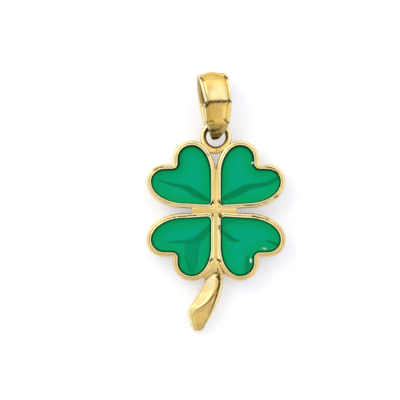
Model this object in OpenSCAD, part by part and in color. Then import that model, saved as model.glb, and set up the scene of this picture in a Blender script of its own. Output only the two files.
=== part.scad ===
// Four leaf clover pendant in cast gold with green enamel, lying on its flat back.
// The leaves lie in the X-Y plane. +Y points to the bail and +Z to the front.
// The origin is the centre of the clover on its flat back.

/* [Leaves] */
// Width of one enamel heart, along X
leaf_w = 4.48; // [4:0.02:5]
// Height of one enamel heart, along Y
leaf_h = 4.45; // [4:0.05:5]
// Distance between the hearts left and right of the upright bar
bar_w = 0.7; // [0.6:0.02:0.8]
// Distance between the hearts above and below the level bar
bar_h = 0.86; // [0.7:0.02:1]
// Width of the gold rim around each heart
rim_w = 0.35; // [0.3:0.01:0.42]
// Height of the rims over the flat back
rim_h = 1.8; // [1.7:0.02:2]
// Thickness of the gold floor under the enamel
floor_t = 0.6; // [0.4:0.05:0.8]

/* [Enamel] */
// Gap left between the enamel and the gold
enamel_gap = 0.02; // [0.01:0.01:0.04]
// How far the enamel's edge stays below the top of the rim
enamel_drop = 0.16; // [0.1:0.02:0.3]
// How deep the enamel's face is dished
enamel_dish = 0.24; // [0.1:0.02:0.4]

/* [Web between the leaves] */
// Height of the plate between the leaves over the flat back
web_h = 1.46; // [1.2:0.02:1.5]
// How far the plate's underside stays above the surface that the leaves lie on
web_back = 0.12; // [0.05:0.01:0.3]
// How far the level arm reaches to the left
web_left = 1.78; // [1.4:0.02:2.2]
// How far the level arm reaches to the right
web_right = 1.56; // [1.2:0.02:2.2]
// How far the upright arm reaches up
web_up = 3.1; // [2.6:0.05:3.4]
// How far the plate reaches down, to carry the stem
web_down = 4.95; // [4.8:0.05:5.1]
// Width of the plate at its lower end
web_foot = 1.8; // [1.6:0.05:2]
// Height of the fine ridge along the middle of the arms
ridge_h = 0.1; // [0.04:0.01:0.12]

/* [Ring] */
// Diameter of the hole in the ring
ring_hole = 1.43; // [1.4:0.01:1.6]
// Thickness of the ring's wire
ring_wire = 0.46; // [0.4:0.02:0.5]
// Height of the ring's centre over the top of the hearts
ring_rise = 0.6; // [0.5:0.02:0.65]
// Height of the wire's centre over the flat back
ring_z = 1.3; // [1.2:0.02:1.34]

/* [Bail] */
// Length of the bail, along Y
bail_len = 4.9; // [4.6:0.05:5.6]
// Widest width of the bail over its edge ribs
bail_w = 2.2; // [2:0.02:2.3]
// Depth of the bail from front to back at its crease
bail_depth = 2.04; // [1.98:0.02:2.2]
// Thickness of the bail's wall
bail_wall = 0.26; // [0.2:0.02:0.28]
// Width of the raised rib along each edge of the bail
rib_w = 0.18; // [0.14:0.01:0.22]
// Height of the ribs over the bail's wall
rib_h = 0.09; // [0.06:0.01:0.12]
// Height of the crown along the middle of the bail's wall
bail_crown = 0.12; // [0.06:0.01:0.16]
// How far the bail's top leans to the left
bail_lean = 0.3; // [0:0.02:0.4]
// How much higher the bail's front lies than its back, at the crease
bail_skew = 0.23; // [0:0.01:0.3]
// Space between the bail's lower end and the bottom of the ring's hole
bail_slack = 0.53; // [0.4:0.01:0.6]
// Angle by which the bail is rolled to one side on its ring
bail_roll = 12; // [0:0.5:12.5]
// Gap between the bail's back and the surface below
bail_gap = 0.02; // [0.01:0.01:0.1]

/* [Stem] */
// Length of the stem, along Y
stem_len = 4.25; // [3.6:0.05:4.8]
// Widest width of the stem
stem_w = 1.94; // [1.6:0.02:2.1]
// How far the stem's tip lies to the left
stem_reach = 1.37; // [1:0.05:1.7]
// Thickness of the stem at its crease
stem_t = 1.5; // [1.3:0.05:1.7]
// How deep the stem's root is set into the plate between the leaves
stem_seat = 0.2; // [0.15:0.05:0.4]

/* [Hidden] */
gold = "goldenrod";
enamel = "seagreen";

// The heart's outline is a chain of elliptical arcs, in shares of leaf_w and leaf_h, from its inner corner.
// Columns: centre x, centre y, radius x, radius y, start angle, end angle, steps.
HEART_ARCS = [
    [0.445, 0.387, 0.555, 0.364, 270, 360, 9],
    [0.780, 0.391, 0.220, 0.209, 0, 90, 7],
    [0.650, 0.692, 0.091, 0.088, 270, 180, 4],
    [0.323, 0.775, 0.236, 0.225, 0, 90, 7],
    [0.323, 0.516, 0.323, 0.484, 90, 180, 9],
    [0.056, 0.056, 0.056, 0.056, 180, 270, 4],
];
function heart() = [
    for (a = HEART_ARCS)
        for (i = [0 : a[6]])
            let (t = a[4] + (a[5] - a[4]) * i / a[6])
                [(a[0] + a[2] * cos(t)) * leaf_w, (a[1] + a[3] * sin(t)) * leaf_h]
];
// A point inside the heart from which its whole outline can be seen
heart_eye = [0.42 * leaf_w, 0.42 * leaf_h];

// Section through a rim, from the flat back over the lip to the enamel.
// Columns: distance out from the enamel in shares of rim_w, height in shares of rim_h.
RIM_SECTION = [
    [0.84, 0.00],
    [0.97, 0.05],
    [1.00, 0.45],
    [0.97, 0.66],
    [0.86, 0.80],
    [0.68, 0.86],
    [0.50, 0.85],
    [0.42, 0.88],
    [0.34, 0.96],
    [0.20, 1.00],
    [0.06, 0.98],
    [0.00, 0.93],
];
// Rings of the enamel's dished face. Columns: share of the outline's size, share of the dish's depth.
DISH_RINGS = [
    [1.00, 0.00],
    [0.94, 0.38],
    [0.84, 0.72],
    [0.66, 0.94],
    [0.36, 1.00],
];
enamel_top = rim_h - enamel_drop;
corner_x = bar_w / 2;
corner_y = bar_h / 2;
leaf_top = corner_y + leaf_h;
arm_x = corner_x - 0.4 * rim_w;
arm_y = corner_y - 0.4 * rim_w;
ridge_w = 0.3 * bar_w;
ridge_up = 0.45 * leaf_h;
ridge_down = 0.6 * leaf_h;
pad_r = 0.08;

ring_r = (ring_hole + ring_wire) / 2;
ring_y = leaf_top + ring_rise;
solder_r = 0.36 * ring_wire;
solder_y = ring_y - ring_r - 0.35 * ring_wire;
solder_x = 0.42 * ring_r;

// Half of the bail's side view, from its top over the front to its lower end, mirrored for the back.
// Columns: down in shares of bail_len, out in shares of half of bail_depth, width in shares of bail_w,
// lean in shares of bail_lean, rib height in shares of rib_h.
BAIL_ROWS = [
    [0.000, 0.000, 1.00, 1.00, 1],
    [0.012, 0.200, 1.00, 0.98, 1],
    [0.036, 0.340, 1.00, 0.95, 1],
    [0.070, 0.440, 1.00, 0.90, 1],
    [0.105, 0.530, 0.99, 0.83, 1],
    [0.200, 0.740, 0.97, 0.62, 1],
    [0.320, 0.910, 0.94, 0.36, 1],
    [0.440, 1.000, 0.90, 0.10, 1],
    [0.455, 0.940, 0.90, 0.08, 1],
    [0.470, 0.990, 0.90, 0.06, 1],
    [0.580, 0.870, 0.86, -0.10, 1],
    [0.700, 0.760, 0.80, -0.15, 1],
    [0.735, 0.735, 0.78, -0.15, 1],
    [0.765, 0.725, 0.75, -0.15, 0],
    [0.860, 0.710, 0.60, -0.10, 0],
    [0.915, 0.630, 0.43, 0.00, 0],
    [0.955, 0.500, 0.31, 0.00, 0],
    [0.986, 0.290, 0.21, 0.00, 0],
    [1.000, 0.000, 0.16, 0.00, 0],
];
CREASE_ROW = 7;
bail_foot = ring_y - ring_hole / 2 + bail_slack;
hook_y = ring_y + ring_r - bail_foot;
belly_y = bail_len * (1 - BAIL_ROWS[CREASE_ROW][0]) - hook_y;
belly_half = BAIL_ROWS[CREASE_ROW][2] * bail_w / 2;
belly_drop = (bail_depth / 2 + rib_h) * cos(bail_roll) + belly_half * sin(bail_roll);
bail_pitch = asin((belly_drop + bail_gap - ring_z) / belly_y);

// Level sections through the stem, from its root to its tip.
// Columns: down in shares of stem_len, middle in shares of stem_reach to the left, width in shares of
// stem_w, place of the crease across the width, then the heights of the left edge, the crease and the
// panel to its right in shares of stem_t.
STEM_ROWS = [
    [0.000, -0.04, 0.28, 0.60, 0.70, 0.86, 0.80],
    [0.030, -0.02, 0.44, 0.64, 0.66, 0.94, 0.84],
    [0.090, 0.10, 0.68, 0.68, 0.62, 1.00, 0.84],
    [0.183, 0.17, 0.74, 0.70, 0.62, 1.00, 0.80],
    [0.278, 0.27, 0.80, 0.67, 0.62, 1.00, 0.77],
    [0.370, 0.39, 0.84, 0.64, 0.62, 1.00, 0.74],
    [0.489, 0.58, 0.93, 0.56, 0.64, 0.98, 0.72],
    [0.580, 0.75, 1.00, 0.42, 0.68, 0.92, 0.70],
    [0.630, 0.82, 0.99, 0.33, 0.70, 0.86, 0.69],
    [0.672, 0.86, 0.94, 0.24, 0.72, 0.80, 0.68],
    [0.762, 0.91, 0.77, 0.20, 0.70, 0.72, 0.66],
    [0.875, 0.97, 0.52, 0.20, 0.66, 0.66, 0.62],
    [0.950, 1.00, 0.30, 0.24, 0.58, 0.58, 0.55],
    [0.988, 1.00, 0.16, 0.30, 0.50, 0.50, 0.48],
    [1.000, 1.00, 0.07, 0.30, 0.42, 0.42, 0.40],
];
groove_at = 0.86;
groove_depth = 0.12;
edge_low = 0.28;
edge_tuck = 0.06;
stem_top = stem_seat - web_down;

// Unit vector of v
function unit(v) = v / norm(v);
// Points of a closed outline moved outward by d
function offset_loop(pts, d) = [
    for (i = [0 : len(pts) - 1])
        let (
            before = unit(pts[i] - pts[(i + len(pts) - 1) % len(pts)]),
            after = unit(pts[(i + 1) % len(pts)] - pts[i]),
            side = unit([before[1] + after[1], -before[0] - after[0]])
        )
            pts[i] + side * d / (side * [after[1], -after[0]])
];
// Points of an outline drawn in towards c by the factor s
function shrink_loop(pts, s, c) = [for (p = pts) c + (p - c) * s];
// Outline with its repeated points left out
function distinct(pts) = [
    for (i = [0 : len(pts) - 1])
        if (norm(pts[i] - pts[(i + 1) % len(pts)]) > 0.001) pts[i]
];
// Outline raised to height z
function raised(pts, z) = [for (p = pts) [p[0], p[1], z]];

// Closed solid through rings of equally many points, flat at both ends
module skin(rings) {
    n = len(rings[0]);
    last = len(rings) - 1;
    polyhedron(
        points = [for (ring = rings) for (p = ring) p],
        faces = concat(
            [[for (i = [0 : n - 1]) i]],
            [[for (i = [n - 1 : -1 : 0]) last * n + i]],
            [
                for (k = [0 : last - 1])
                    for (i = [0 : n - 1])
                        let (j = (i + 1) % n)
                            each [
                                [k * n + i, (k + 1) * n + i, (k + 1) * n + j],
                                [k * n + i, (k + 1) * n + j, k * n + j],
                            ]
            ]
        ),
        convexity = 8
    );
}

// Closed band through rings of equally many points, joined end to end
module loop_band(rings) {
    n = len(rings[0]);
    m = len(rings);
    polyhedron(
        points = [for (ring = rings) for (p = ring) p],
        faces = [
            for (k = [0 : m - 1])
                for (i = [0 : n - 1])
                    let (j = (i + 1) % n, up = (k + 1) % m)
                        each [
                            [k * n + i, up * n + j, up * n + i],
                            [k * n + i, k * n + j, up * n + j],
                        ]
        ],
        convexity = 8
    );
}

// Puts its children in one of the four quarters, turned over from the upper right one
module quarter(side_x, side_y) {
    mirror([side_x < 0 ? 1 : 0, 0, 0])
        mirror([0, side_y < 0 ? 1 : 0, 0])
            translate([corner_x, corner_y, 0])
                children();
}

// Gold cell of one leaf: its floor and its rounded rim
module leaf_cell() {
    outline = distinct(heart());
    skin(concat(
        [for (r = RIM_SECTION) raised(offset_loop(outline, r[0] * rim_w), r[1] * rim_h)],
        [raised(outline, floor_t)]
    ));
}

// Enamel of one leaf, with a dished face
module leaf_enamel() {
    outline = offset_loop(distinct(heart()), -enamel_gap);
    skin(concat(
        [raised(outline, floor_t + enamel_gap)],
        [
            for (r = DISH_RINGS)
                raised(shrink_loop(outline, r[0], heart_eye), enamel_top - r[1] * enamel_dish)
        ]
    ));
}

// Flat plate with rounded corners between two corners a and b
module pad(a, b) {
    hull()
        for (x = [a[0] + pad_r, b[0] - pad_r], y = [a[1] + pad_r, b[1] - pad_r])
            translate([x, y, web_back])
                cylinder(h = web_h - web_back, r = pad_r, $fn = 16);
}

// Fine raised ridge between two points of the web
module ridge(a, b) {
    hull()
        for (p = [a, b])
            translate([p[0], p[1], web_h])
                scale([1, 1, 2 * ridge_h / ridge_w])
                    sphere(d = ridge_w, $fn = 12);
}

// Plate between the leaves: two crossed arms, their ridges and the foot that carries the stem
module web() {
    pad([-web_left, -arm_y], [0, arm_y]);
    pad([0, -arm_y], [web_right, arm_y]);
    pad([-arm_x, 0], [arm_x, web_up]);
    pad([-arm_x, -web_down + web_foot], [arm_x, 0]);
    ridge([-0.6 * web_left, 0], [0.6 * web_right, 0]);
    ridge([0, -ridge_down], [0, ridge_up]);
    hull() {
        pad([-arm_x, -web_down + web_foot], [arm_x, -web_down + web_foot + arm_x]);
        pad([-web_foot / 2, -web_down], [web_foot / 2, -web_down + 2 * pad_r]);
    }
}

// Round ring between the two upper leaves, with the solder that joins it to them
module ring() {
    translate([0, ring_y, ring_z])
        rotate_extrude($fn = 40)
            translate([ring_r, 0])
                circle(d = ring_wire, $fn = 14);
    hull()
        for (side = [-1, 1])
            translate([side * solder_x, solder_y, ring_z])
                sphere(r = solder_r, $fn = 12);
}

// One level section through the stem
function stem_section(row) =
    let (
        w = row[2] * stem_w,
        x0 = -row[1] * stem_reach - w / 2,
        y = stem_top - row[0] * stem_len,
        left_h = row[4] * stem_t,
        crease_h = row[5] * stem_t,
        panel_h = row[6] * stem_t,
        groove_h = panel_h - groove_depth * stem_t * row[2],
        low = edge_low * stem_t,
        tuck = edge_tuck * w
    )
        [
            [x0 + tuck, y, 0],
            [x0 + w - tuck, y, 0],
            [x0 + w, y, low],
            [x0 + w - tuck / 3, y, 0.9 * panel_h],
            [x0 + w - 1.2 * tuck, y, panel_h],
            [x0 + groove_at * w, y, groove_h],
            [x0 + (groove_at - 0.06) * w, y, panel_h],
            [x0 + (row[3] + 0.05) * w, y, (panel_h + crease_h) / 2],
            [x0 + row[3] * w, y, crease_h],
            [x0 + 1.4 * tuck, y, left_h + 0.1 * stem_t * row[2]],
            [x0 + tuck / 3, y, left_h],
            [x0, y, low],
        ];

// Curved leaf stem with a crease that crosses it from its root to its left corner
module stem() {
    skin([for (row = STEM_ROWS) stem_section(row)]);
}

module clover_frame() {
    color(gold) {
        for (side_x = [-1, 1], side_y = [-1, 1])
            quarter(side_x, side_y)
                leaf_cell();
        web();
        ring();
        stem();
    }
}

// Bail rows around the whole loop, the back half mirrored from the front half
function bail_loop() =
    let (last = len(BAIL_ROWS) - 1)
        concat(
            [for (i = [0 : last]) concat(BAIL_ROWS[i], [1])],
            [for (i = [last - 1 : -1 : 1]) concat(BAIL_ROWS[i], [-1])]
        );
// Place of a bail row in the side view, as a point in Y and Z from the wire that it hangs on
function bail_spot(row) =
    let (out = row[5] * row[1])
        [(1 - row[0]) * bail_len - hook_y + out * bail_skew / 2, out * bail_depth / 2];
// Section through the bail's wall at point p, with the unit normal out
function bail_section(row, p, out) =
    let (
        half = row[2] * bail_w / 2,
        lean = row[3] * bail_lean,
        rib = row[4] * rib_h,
        crown = row[2] * bail_crown,
        u = rib_w / bail_w * 2,
        edge = [
            [1, 0.6 * rib],
            [1 - 0.3 * u, rib],
            [1 - 0.8 * u, 0.8 * rib],
            [1 - 1.2 * u, -0.4 * rib],
            [1 - 2.2 * u, 0.2 * crown],
            [0.5 * (1 - 2.2 * u), 0.8 * crown],
        ],
        profile = concat(
            [for (e = edge) [-e[0], e[1]]],
            [[0, crown]],
            [for (i = [len(edge) - 1 : -1 : 0]) edge[i]],
            [[1, -bail_wall], [-1, -bail_wall]]
        )
    )
        [for (q = profile) [q[0] * half - lean, p[0] + out[0] * q[1], p[1] + out[1] * q[1]]];

module bail() {
    rows = bail_loop();
    spots = [for (row = rows) bail_spot(row)];
    n = len(rows);
    color(gold)
        translate([0, bail_foot + hook_y, ring_z])
            rotate([bail_pitch, bail_roll, 0])
                loop_band([
                    for (i = [0 : n - 1])
                        let (
                            before = unit(spots[i] - spots[(i + n - 1) % n]),
                            after = unit(spots[(i + 1) % n] - spots[i]),
                            along = unit(before + after)
                        )
                            bail_section(rows[i], spots[i], [along[1], -along[0]])
                ]);
}

module enamel_upper_left() {
    color(enamel)
        quarter(-1, 1)
            leaf_enamel();
}

module enamel_upper_right() {
    color(enamel)
        quarter(1, 1)
            leaf_enamel();
}

module enamel_lower_left() {
    color(enamel)
        quarter(-1, -1)
            leaf_enamel();
}

module enamel_lower_right() {
    color(enamel)
        quarter(1, -1)
            leaf_enamel();
}

clover_frame();
bail();
enamel_upper_left();
enamel_upper_right();
enamel_lower_left();
enamel_lower_right();
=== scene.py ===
"""Looks of a four leaf clover pendant in cast gold and green enamel, lying on its back.

Shapes are modelled in millimetres and brought to metres when a piece is finished. The leaves lie in the
X-Y plane, +Y points to the bail and +Z to the front.
"""

from __future__ import annotations

import logging
import math
from dataclasses import dataclass
from enum import Enum
from typing import Callable, Sequence

import bmesh
import bpy
from mathutils import Euler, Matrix, Vector, kdtree, noise


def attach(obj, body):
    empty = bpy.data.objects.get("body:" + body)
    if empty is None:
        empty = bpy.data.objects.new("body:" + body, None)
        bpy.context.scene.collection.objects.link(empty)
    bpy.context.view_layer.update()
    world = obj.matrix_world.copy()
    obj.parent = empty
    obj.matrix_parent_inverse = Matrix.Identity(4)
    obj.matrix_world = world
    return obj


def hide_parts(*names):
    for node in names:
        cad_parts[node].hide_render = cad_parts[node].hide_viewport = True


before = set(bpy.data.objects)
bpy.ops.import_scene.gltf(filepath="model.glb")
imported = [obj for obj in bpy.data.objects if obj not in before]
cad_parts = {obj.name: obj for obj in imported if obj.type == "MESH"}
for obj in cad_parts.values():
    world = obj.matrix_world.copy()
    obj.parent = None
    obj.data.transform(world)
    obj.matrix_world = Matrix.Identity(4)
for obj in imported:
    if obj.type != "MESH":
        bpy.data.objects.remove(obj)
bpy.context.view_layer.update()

log = logging.getLogger("pendant")
MM = 0.001
HAIR = 0.01 * MM  # the drop of the floor and the depth of the finest relief
CROSS_CENTRE_PX = (215.84, 210.55)  # the pixel over the middle of the clover
PX_PER_MM = 13.4
FRAME_PX = 400  # the photograph's width and height
BACK_BAND = 0.1  # the height up to which a back stays level
MERGE = 1e-4  # points that lie closer are merged
SAME = 1e-6  # lengths that differ by less are the same
LEVEL = 0.9  # a face is level when its normal is more upright than this
MARK_GRAIN = 12  # how fine the ragged edge of a pit is, in waves to a millimetre
MARK_RAGGED = 0.35  # how ragged that edge is, in shares of the pit's reach

Pair = tuple[float, float]
Place = tuple[float, float, float]
Colour = tuple[float, float, float, float]
Table = tuple[tuple[float, ...], ...]
Tone = Callable[[Vector], float]


def at_pixel(x: float, y: float) -> Vector:
    """Finds the place in millimetres, at no height, that a pixel of the photograph shows."""
    return Vector(((x - CROSS_CENTRE_PX[0]) / PX_PER_MM, (CROSS_CENTRE_PX[1] - y) / PX_PER_MM, 0))


def falloff(distance: float, reach: float) -> float:
    """Gives a smooth weight that is 1 up to no distance and 0 from the reach on."""
    share = max(0.0, min(1.0, 1 - distance / reach))
    return share * share * (3 - 2 * share)


def near_pixel(place: Vector, pixel: Pair, reach: float) -> float:
    """Gives a weight that fades out round a pixel, seen from above."""
    return falloff((place.xy - at_pixel(*pixel).xy).length, reach)


def beside(place: Vector, a: Vector, b: Vector) -> Pair:
    """Measures where a place lies beside a stretch, seen from above.

    Args:
        place: The place.
        a: One end of the stretch.
        b: The other end of the stretch.

    Returns:
        How far it lies from the stretch, and how far along it, as a share.
    """
    along = (b - a).xy
    off = (place - a).xy
    share = max(0.0, min(1.0, off.dot(along) / along.length_squared))
    return (off - along * share).length, share


def tree_of(places: Sequence[Vector]) -> kdtree.KDTree:
    """Sorts places for a quick search.

    Args:
        places: The places.

    Returns:
        The tree that finds the nearest of them.
    """
    tree = kdtree.KDTree(len(places))
    for i, place in enumerate(places):
        tree.insert(place, i)
    tree.balance()
    return tree


def nearness(lines: Sequence[Sequence[Vector]], reach: float) -> Tone:
    """Makes a tone that is 1 on some lines and fades out beside them.

    Args:
        lines: The places along each line.
        reach: How far the tone reaches to each side.

    Returns:
        The tone, for any place.
    """
    shares = (0, 1 / 3, 2 / 3)
    tree = tree_of([a.lerp(b, share) for line in lines for a, b in zip(line, line[1:]) for share in shares])
    return lambda place: falloff(tree.find(place)[2], reach)


def smooth_rows(rows: Table, steps: int) -> list[list[float]]:
    """Fills a table of sections in with smooth rows between its own.

    Args:
        rows: The table, a row for each section.
        steps: How many rows each stretch between two of them becomes.

    Returns:
        The longer table, which still holds every row of the first.
    """
    filled = []
    last = len(rows) - 1
    for k in range(last):
        a, b, c, d = rows[max(k - 1, 0)], rows[k], rows[k + 1], rows[min(k + 2, last)]
        for i in range(steps):
            t = i / steps
            filled.append([
                0.5 * (
                    2 * q + (r - p) * t
                    + (2 * p - 5 * q + 4 * r - s) * t**2
                    + (3 * q - p - 3 * r + s) * t**3
                )
                for p, q, r, s in zip(a, b, c, d)
            ])
    filled.append(list(rows[last]))
    return filled


class Quarter(Enum):
    """The four leaves, each with the sides of the cross on which it lies."""

    UPPER_LEFT = (-1, 1)
    UPPER_RIGHT = (1, 1)
    LOWER_LEFT = (-1, -1)
    LOWER_RIGHT = (1, -1)

    @property
    def label(self) -> str:
        """Gives the leaf's name in lower case."""
        return self.name.lower()


class Signal:
    """A value on its way through a material. Each operator adds its Math node."""

    def __init__(self, desk: NodeDesk, socket: bpy.types.NodeSocket) -> None:
        """Wraps an output socket of a node on the desk."""
        self.desk = desk
        self.socket = socket

    def _math(self, operation: str, *values: Signal | float) -> Signal:
        """Adds a Math node of that operation, fed in order, and gives its result."""
        return self.desk.add("ShaderNodeMath", {"operation": operation}, dict(enumerate(values)))

    def __add__(self, other: Signal | float) -> Signal:
        """Adds a value."""
        return self._math("ADD", self, other)

    def __radd__(self, other: float) -> Signal:
        """Adds this to a number."""
        return self._math("ADD", other, self)

    def __sub__(self, other: Signal | float) -> Signal:
        """Takes a value away."""
        return self._math("SUBTRACT", self, other)

    def __rsub__(self, other: float) -> Signal:
        """Takes this away from a number."""
        return self._math("SUBTRACT", other, self)

    def __mul__(self, other: Signal | float) -> Signal:
        """Multiplies by a value."""
        return self._math("MULTIPLY", self, other)

    def __rmul__(self, other: float) -> Signal:
        """Multiplies a number by this."""
        return self._math("MULTIPLY", other, self)

    def above(self, floor: float, width: float) -> Signal:
        """Gives 0 at the floor and below, and rises to 1 over the width."""
        scaled = (self - floor) * (1 / width)
        return scaled._math("MINIMUM", scaled._math("MAXIMUM", scaled, 0.0), 1.0)


class NodeDesk:
    """The node tree of one material."""

    def __init__(self, name: str) -> None:
        """Makes an empty material.

        Args:
            name: Its name.
        """
        self.material = bpy.data.materials.new(name)
        self.material.use_nodes = True
        self.tree = self.material.node_tree
        self.tree.nodes.clear()

    def add(
        self,
        kind: str,
        settings: dict[str, object] | None = None,
        values: dict[int | str, object] | None = None,
        output: int | str = 0,
    ) -> Signal:
        """Adds a node.

        Args:
            kind: The node's type.
            settings: Its settings, such as an operation, or the stops of a ramp.
            values: Values or links for its sockets, by number or name.
            output: Which of its outputs is wanted.

        Returns:
            The wanted output.
        """
        node = self.tree.nodes.new(kind)
        for key, value in (settings or {}).items():
            setattr(node, key, value)
        for key, value in (values or {}).items():
            if isinstance(value, Signal):
                self.tree.links.new(value.socket, node.inputs[key])
            else:
                node.inputs[key].default_value = value
        return Signal(self, node.outputs[output])

    def millimetres(self) -> Signal:
        """Gives the piece's own coordinates in millimetres."""
        place = self.add("ShaderNodeTexCoord", output="Object")
        return self.add("ShaderNodeMapping", values={"Vector": place, "Scale": (1 / MM, 1 / MM, 1 / MM)})

    def noise(self, place: Signal, scale: float, detail: float = 2.0) -> Signal:
        """Gives a soft noise around one half, with so many waves in a millimetre and finer layers."""
        return self.add("ShaderNodeTexNoise", values={"Vector": place, "Scale": scale, "Detail": detail})

    def painted(self, name: str) -> Signal:
        """Gives a number that is painted on the piece's points."""
        return self.add("ShaderNodeAttribute", {"attribute_name": name}, output="Fac")

    def mix(self, share: Signal, low: object, high: object) -> Signal:
        """Mixes two colours, with that share of the second."""
        return self.add("ShaderNodeMix", {"data_type": "RGBA"}, {"Factor": share, 6: low, 7: high}, output=2)

    def bump(self, strength: float, height: Signal) -> Signal:
        """Gives the normals of a surface with a slight relief."""
        values = {"Strength": strength, "Distance": HAIR, "Height": height}
        return self.add("ShaderNodeBump", values=values)

    def finish(self, values: dict[str, object]) -> bpy.types.Material:
        """Makes the surface from its values or links, by socket.

        Args:
            values: What goes into the sockets of the surface.

        Returns:
            The finished material.
        """
        surface = self.add("ShaderNodeBsdfPrincipled", values=values)
        end = self.tree.nodes.new("ShaderNodeOutputMaterial")
        self.tree.links.new(surface.socket, end.inputs["Surface"])
        return self.material


@dataclass(frozen=True)
class GoldFinish:
    """Polished cast gold, with brown tarnish and painted shade, and painted highlights, where they are
    painted on.

    Attributes:
        pale: The metal's lighter tone.
        deep: The metal's deeper tone.
        wear_and_highlight: The palest tone, for edges worn bright and for painted highlights on lips, beads
            and ribs.
        warm: The fuller tone of a face that is turned away from the light.
        dusky: The darkest clean tone, where the metal is in its own shade.
        tarnish_and_shade: The colour of the tarnish left in dents and grooves, and of painted shade on
            walls, corners and marks.
        roughness: How rough the polished metal is.
    """

    pale: Colour = (0.88, 0.64, 0.26, 1)
    deep: Colour = (0.83, 0.56, 0.17, 1)
    wear_and_highlight: Colour = (1.0, 0.95, 0.56, 1)
    warm: Colour = (0.95, 0.61, 0.14, 1)
    dusky: Colour = (0.46, 0.28, 0.05, 1)
    tarnish_and_shade: Colour = (0.055, 0.028, 0.002, 1)
    roughness: float = 0.18

    def make(self, name: str) -> bpy.types.Material:
        """Makes the material.

        Args:
            name: Its name.

        Returns:
            The material.
        """
        desk = NodeDesk(name)
        place = desk.millimetres()
        cloudy = desk.noise(place, scale=0.9, detail=3.0)
        ragged = desk.noise(place, scale=5.0, detail=3.0).above(floor=0.40, width=0.16)
        fine = desk.noise(place, scale=22.0)
        # one painted number darkens both the tarnish in dents and grooves and the painted shade on outer
        # walls, corners, web ends and other marks
        darkening = desk.painted("tarnish_and_shade") * (0.7 + ragged * 0.3)
        wear_and_highlight = desk.painted("wear_and_highlight")
        dusk = desk.painted("dusk")
        metal = desk.mix(cloudy.above(floor=0.3, width=0.4), self.pale, self.deep)
        metal = desk.mix(dusk.above(floor=0.0, width=0.4), metal, self.warm)
        metal = desk.mix(dusk.above(floor=0.4, width=0.6), metal, self.dusky)
        # one painted number pales the metal, for real wear and for painted highlights on lips, beads, ribs
        # and the ring's front; it also lowers Metallic below, so those places read evenly pale
        metal = desk.mix(wear_and_highlight, metal, self.wear_and_highlight)
        return desk.finish({
            "Base Color": desk.mix(darkening, metal, self.tarnish_and_shade),
            "Metallic": 1.0 - wear_and_highlight * (1.0 - darkening) * 0.4,
            "Roughness": self.roughness + cloudy * 0.05 + darkening * 0.3,
            "Normal": desk.bump(0.25, cloudy + fine * 0.12),
        })


@dataclass(frozen=True)
class EnamelFinish:
    """Glossy green enamel, with painted dark reflections in its folds, painted shade along its edge and
    painted highlights on its blisters.

    Attributes:
        middle: The bluish green of the leaf's middle.
        border: The warmer green further out.
        fold: The dark green painted into a fold as its reflection.
        edge: The darkest green, painted along the gold as shade.
        blister_glint: The pale green painted on a small blister as a highlight.
        gloss: Its roughness.
        specular: How strongly it mirrors.
    """

    middle: Colour = (0.0, 0.342, 0.162, 1)
    border: Colour = (0.0, 0.318, 0.092, 1)
    fold: Colour = (0.0, 0.19, 0.06, 1)
    edge: Colour = (0.0, 0.042, 0.006, 1)
    blister_glint: Colour = (0.8, 1.0, 0.92, 1)
    gloss: float = 0.07
    specular: float = 0.03

    def make(self, name: str) -> bpy.types.Material:
        """Makes the material.

        Args:
            name: Its name.

        Returns:
            The material.
        """
        desk = NodeDesk(name)
        place = desk.millimetres()
        cloudy = desk.noise(place, scale=0.55)
        fine = desk.noise(place, scale=4.0)
        green = desk.mix(desk.painted("middle") * (0.55 + cloudy * 0.9), self.border, self.middle)
        # painted dark reflection in the folds
        folded = desk.mix(desk.painted("fold"), green, self.fold)
        # painted shade along the gold
        edged = desk.mix(desk.painted("edge"), folded, self.edge)
        return desk.finish({
            # painted highlights on the blisters
            "Base Color": desk.mix(desk.painted("blister_glint"), edged, self.blister_glint),
            "Roughness": self.gloss + fine * 0.03,
            "Specular IOR Level": self.specular,
            "Normal": desk.bump(0.2, cloudy),
        })


@dataclass(frozen=True)
class FloorFinish:
    """A plain white light table.

    Attributes:
        white: The colour of its glass.
        light: The colour of its own light.
        glow: How bright that light is.
        roughness: How rough the glass is.
    """

    white: Colour = (0.60, 0.60, 0.60, 1)
    light: Colour = (0.99, 0.98, 1.0, 1)
    glow: float = 0.42
    roughness: float = 0.7

    def make(self, name: str) -> bpy.types.Material:
        """Makes the material.

        Args:
            name: Its name.

        Returns:
            The material.
        """
        return NodeDesk(name).finish({
            "Base Color": self.white, "Roughness": self.roughness,
            "Emission Color": self.light, "Emission Strength": self.glow,
        })


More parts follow.
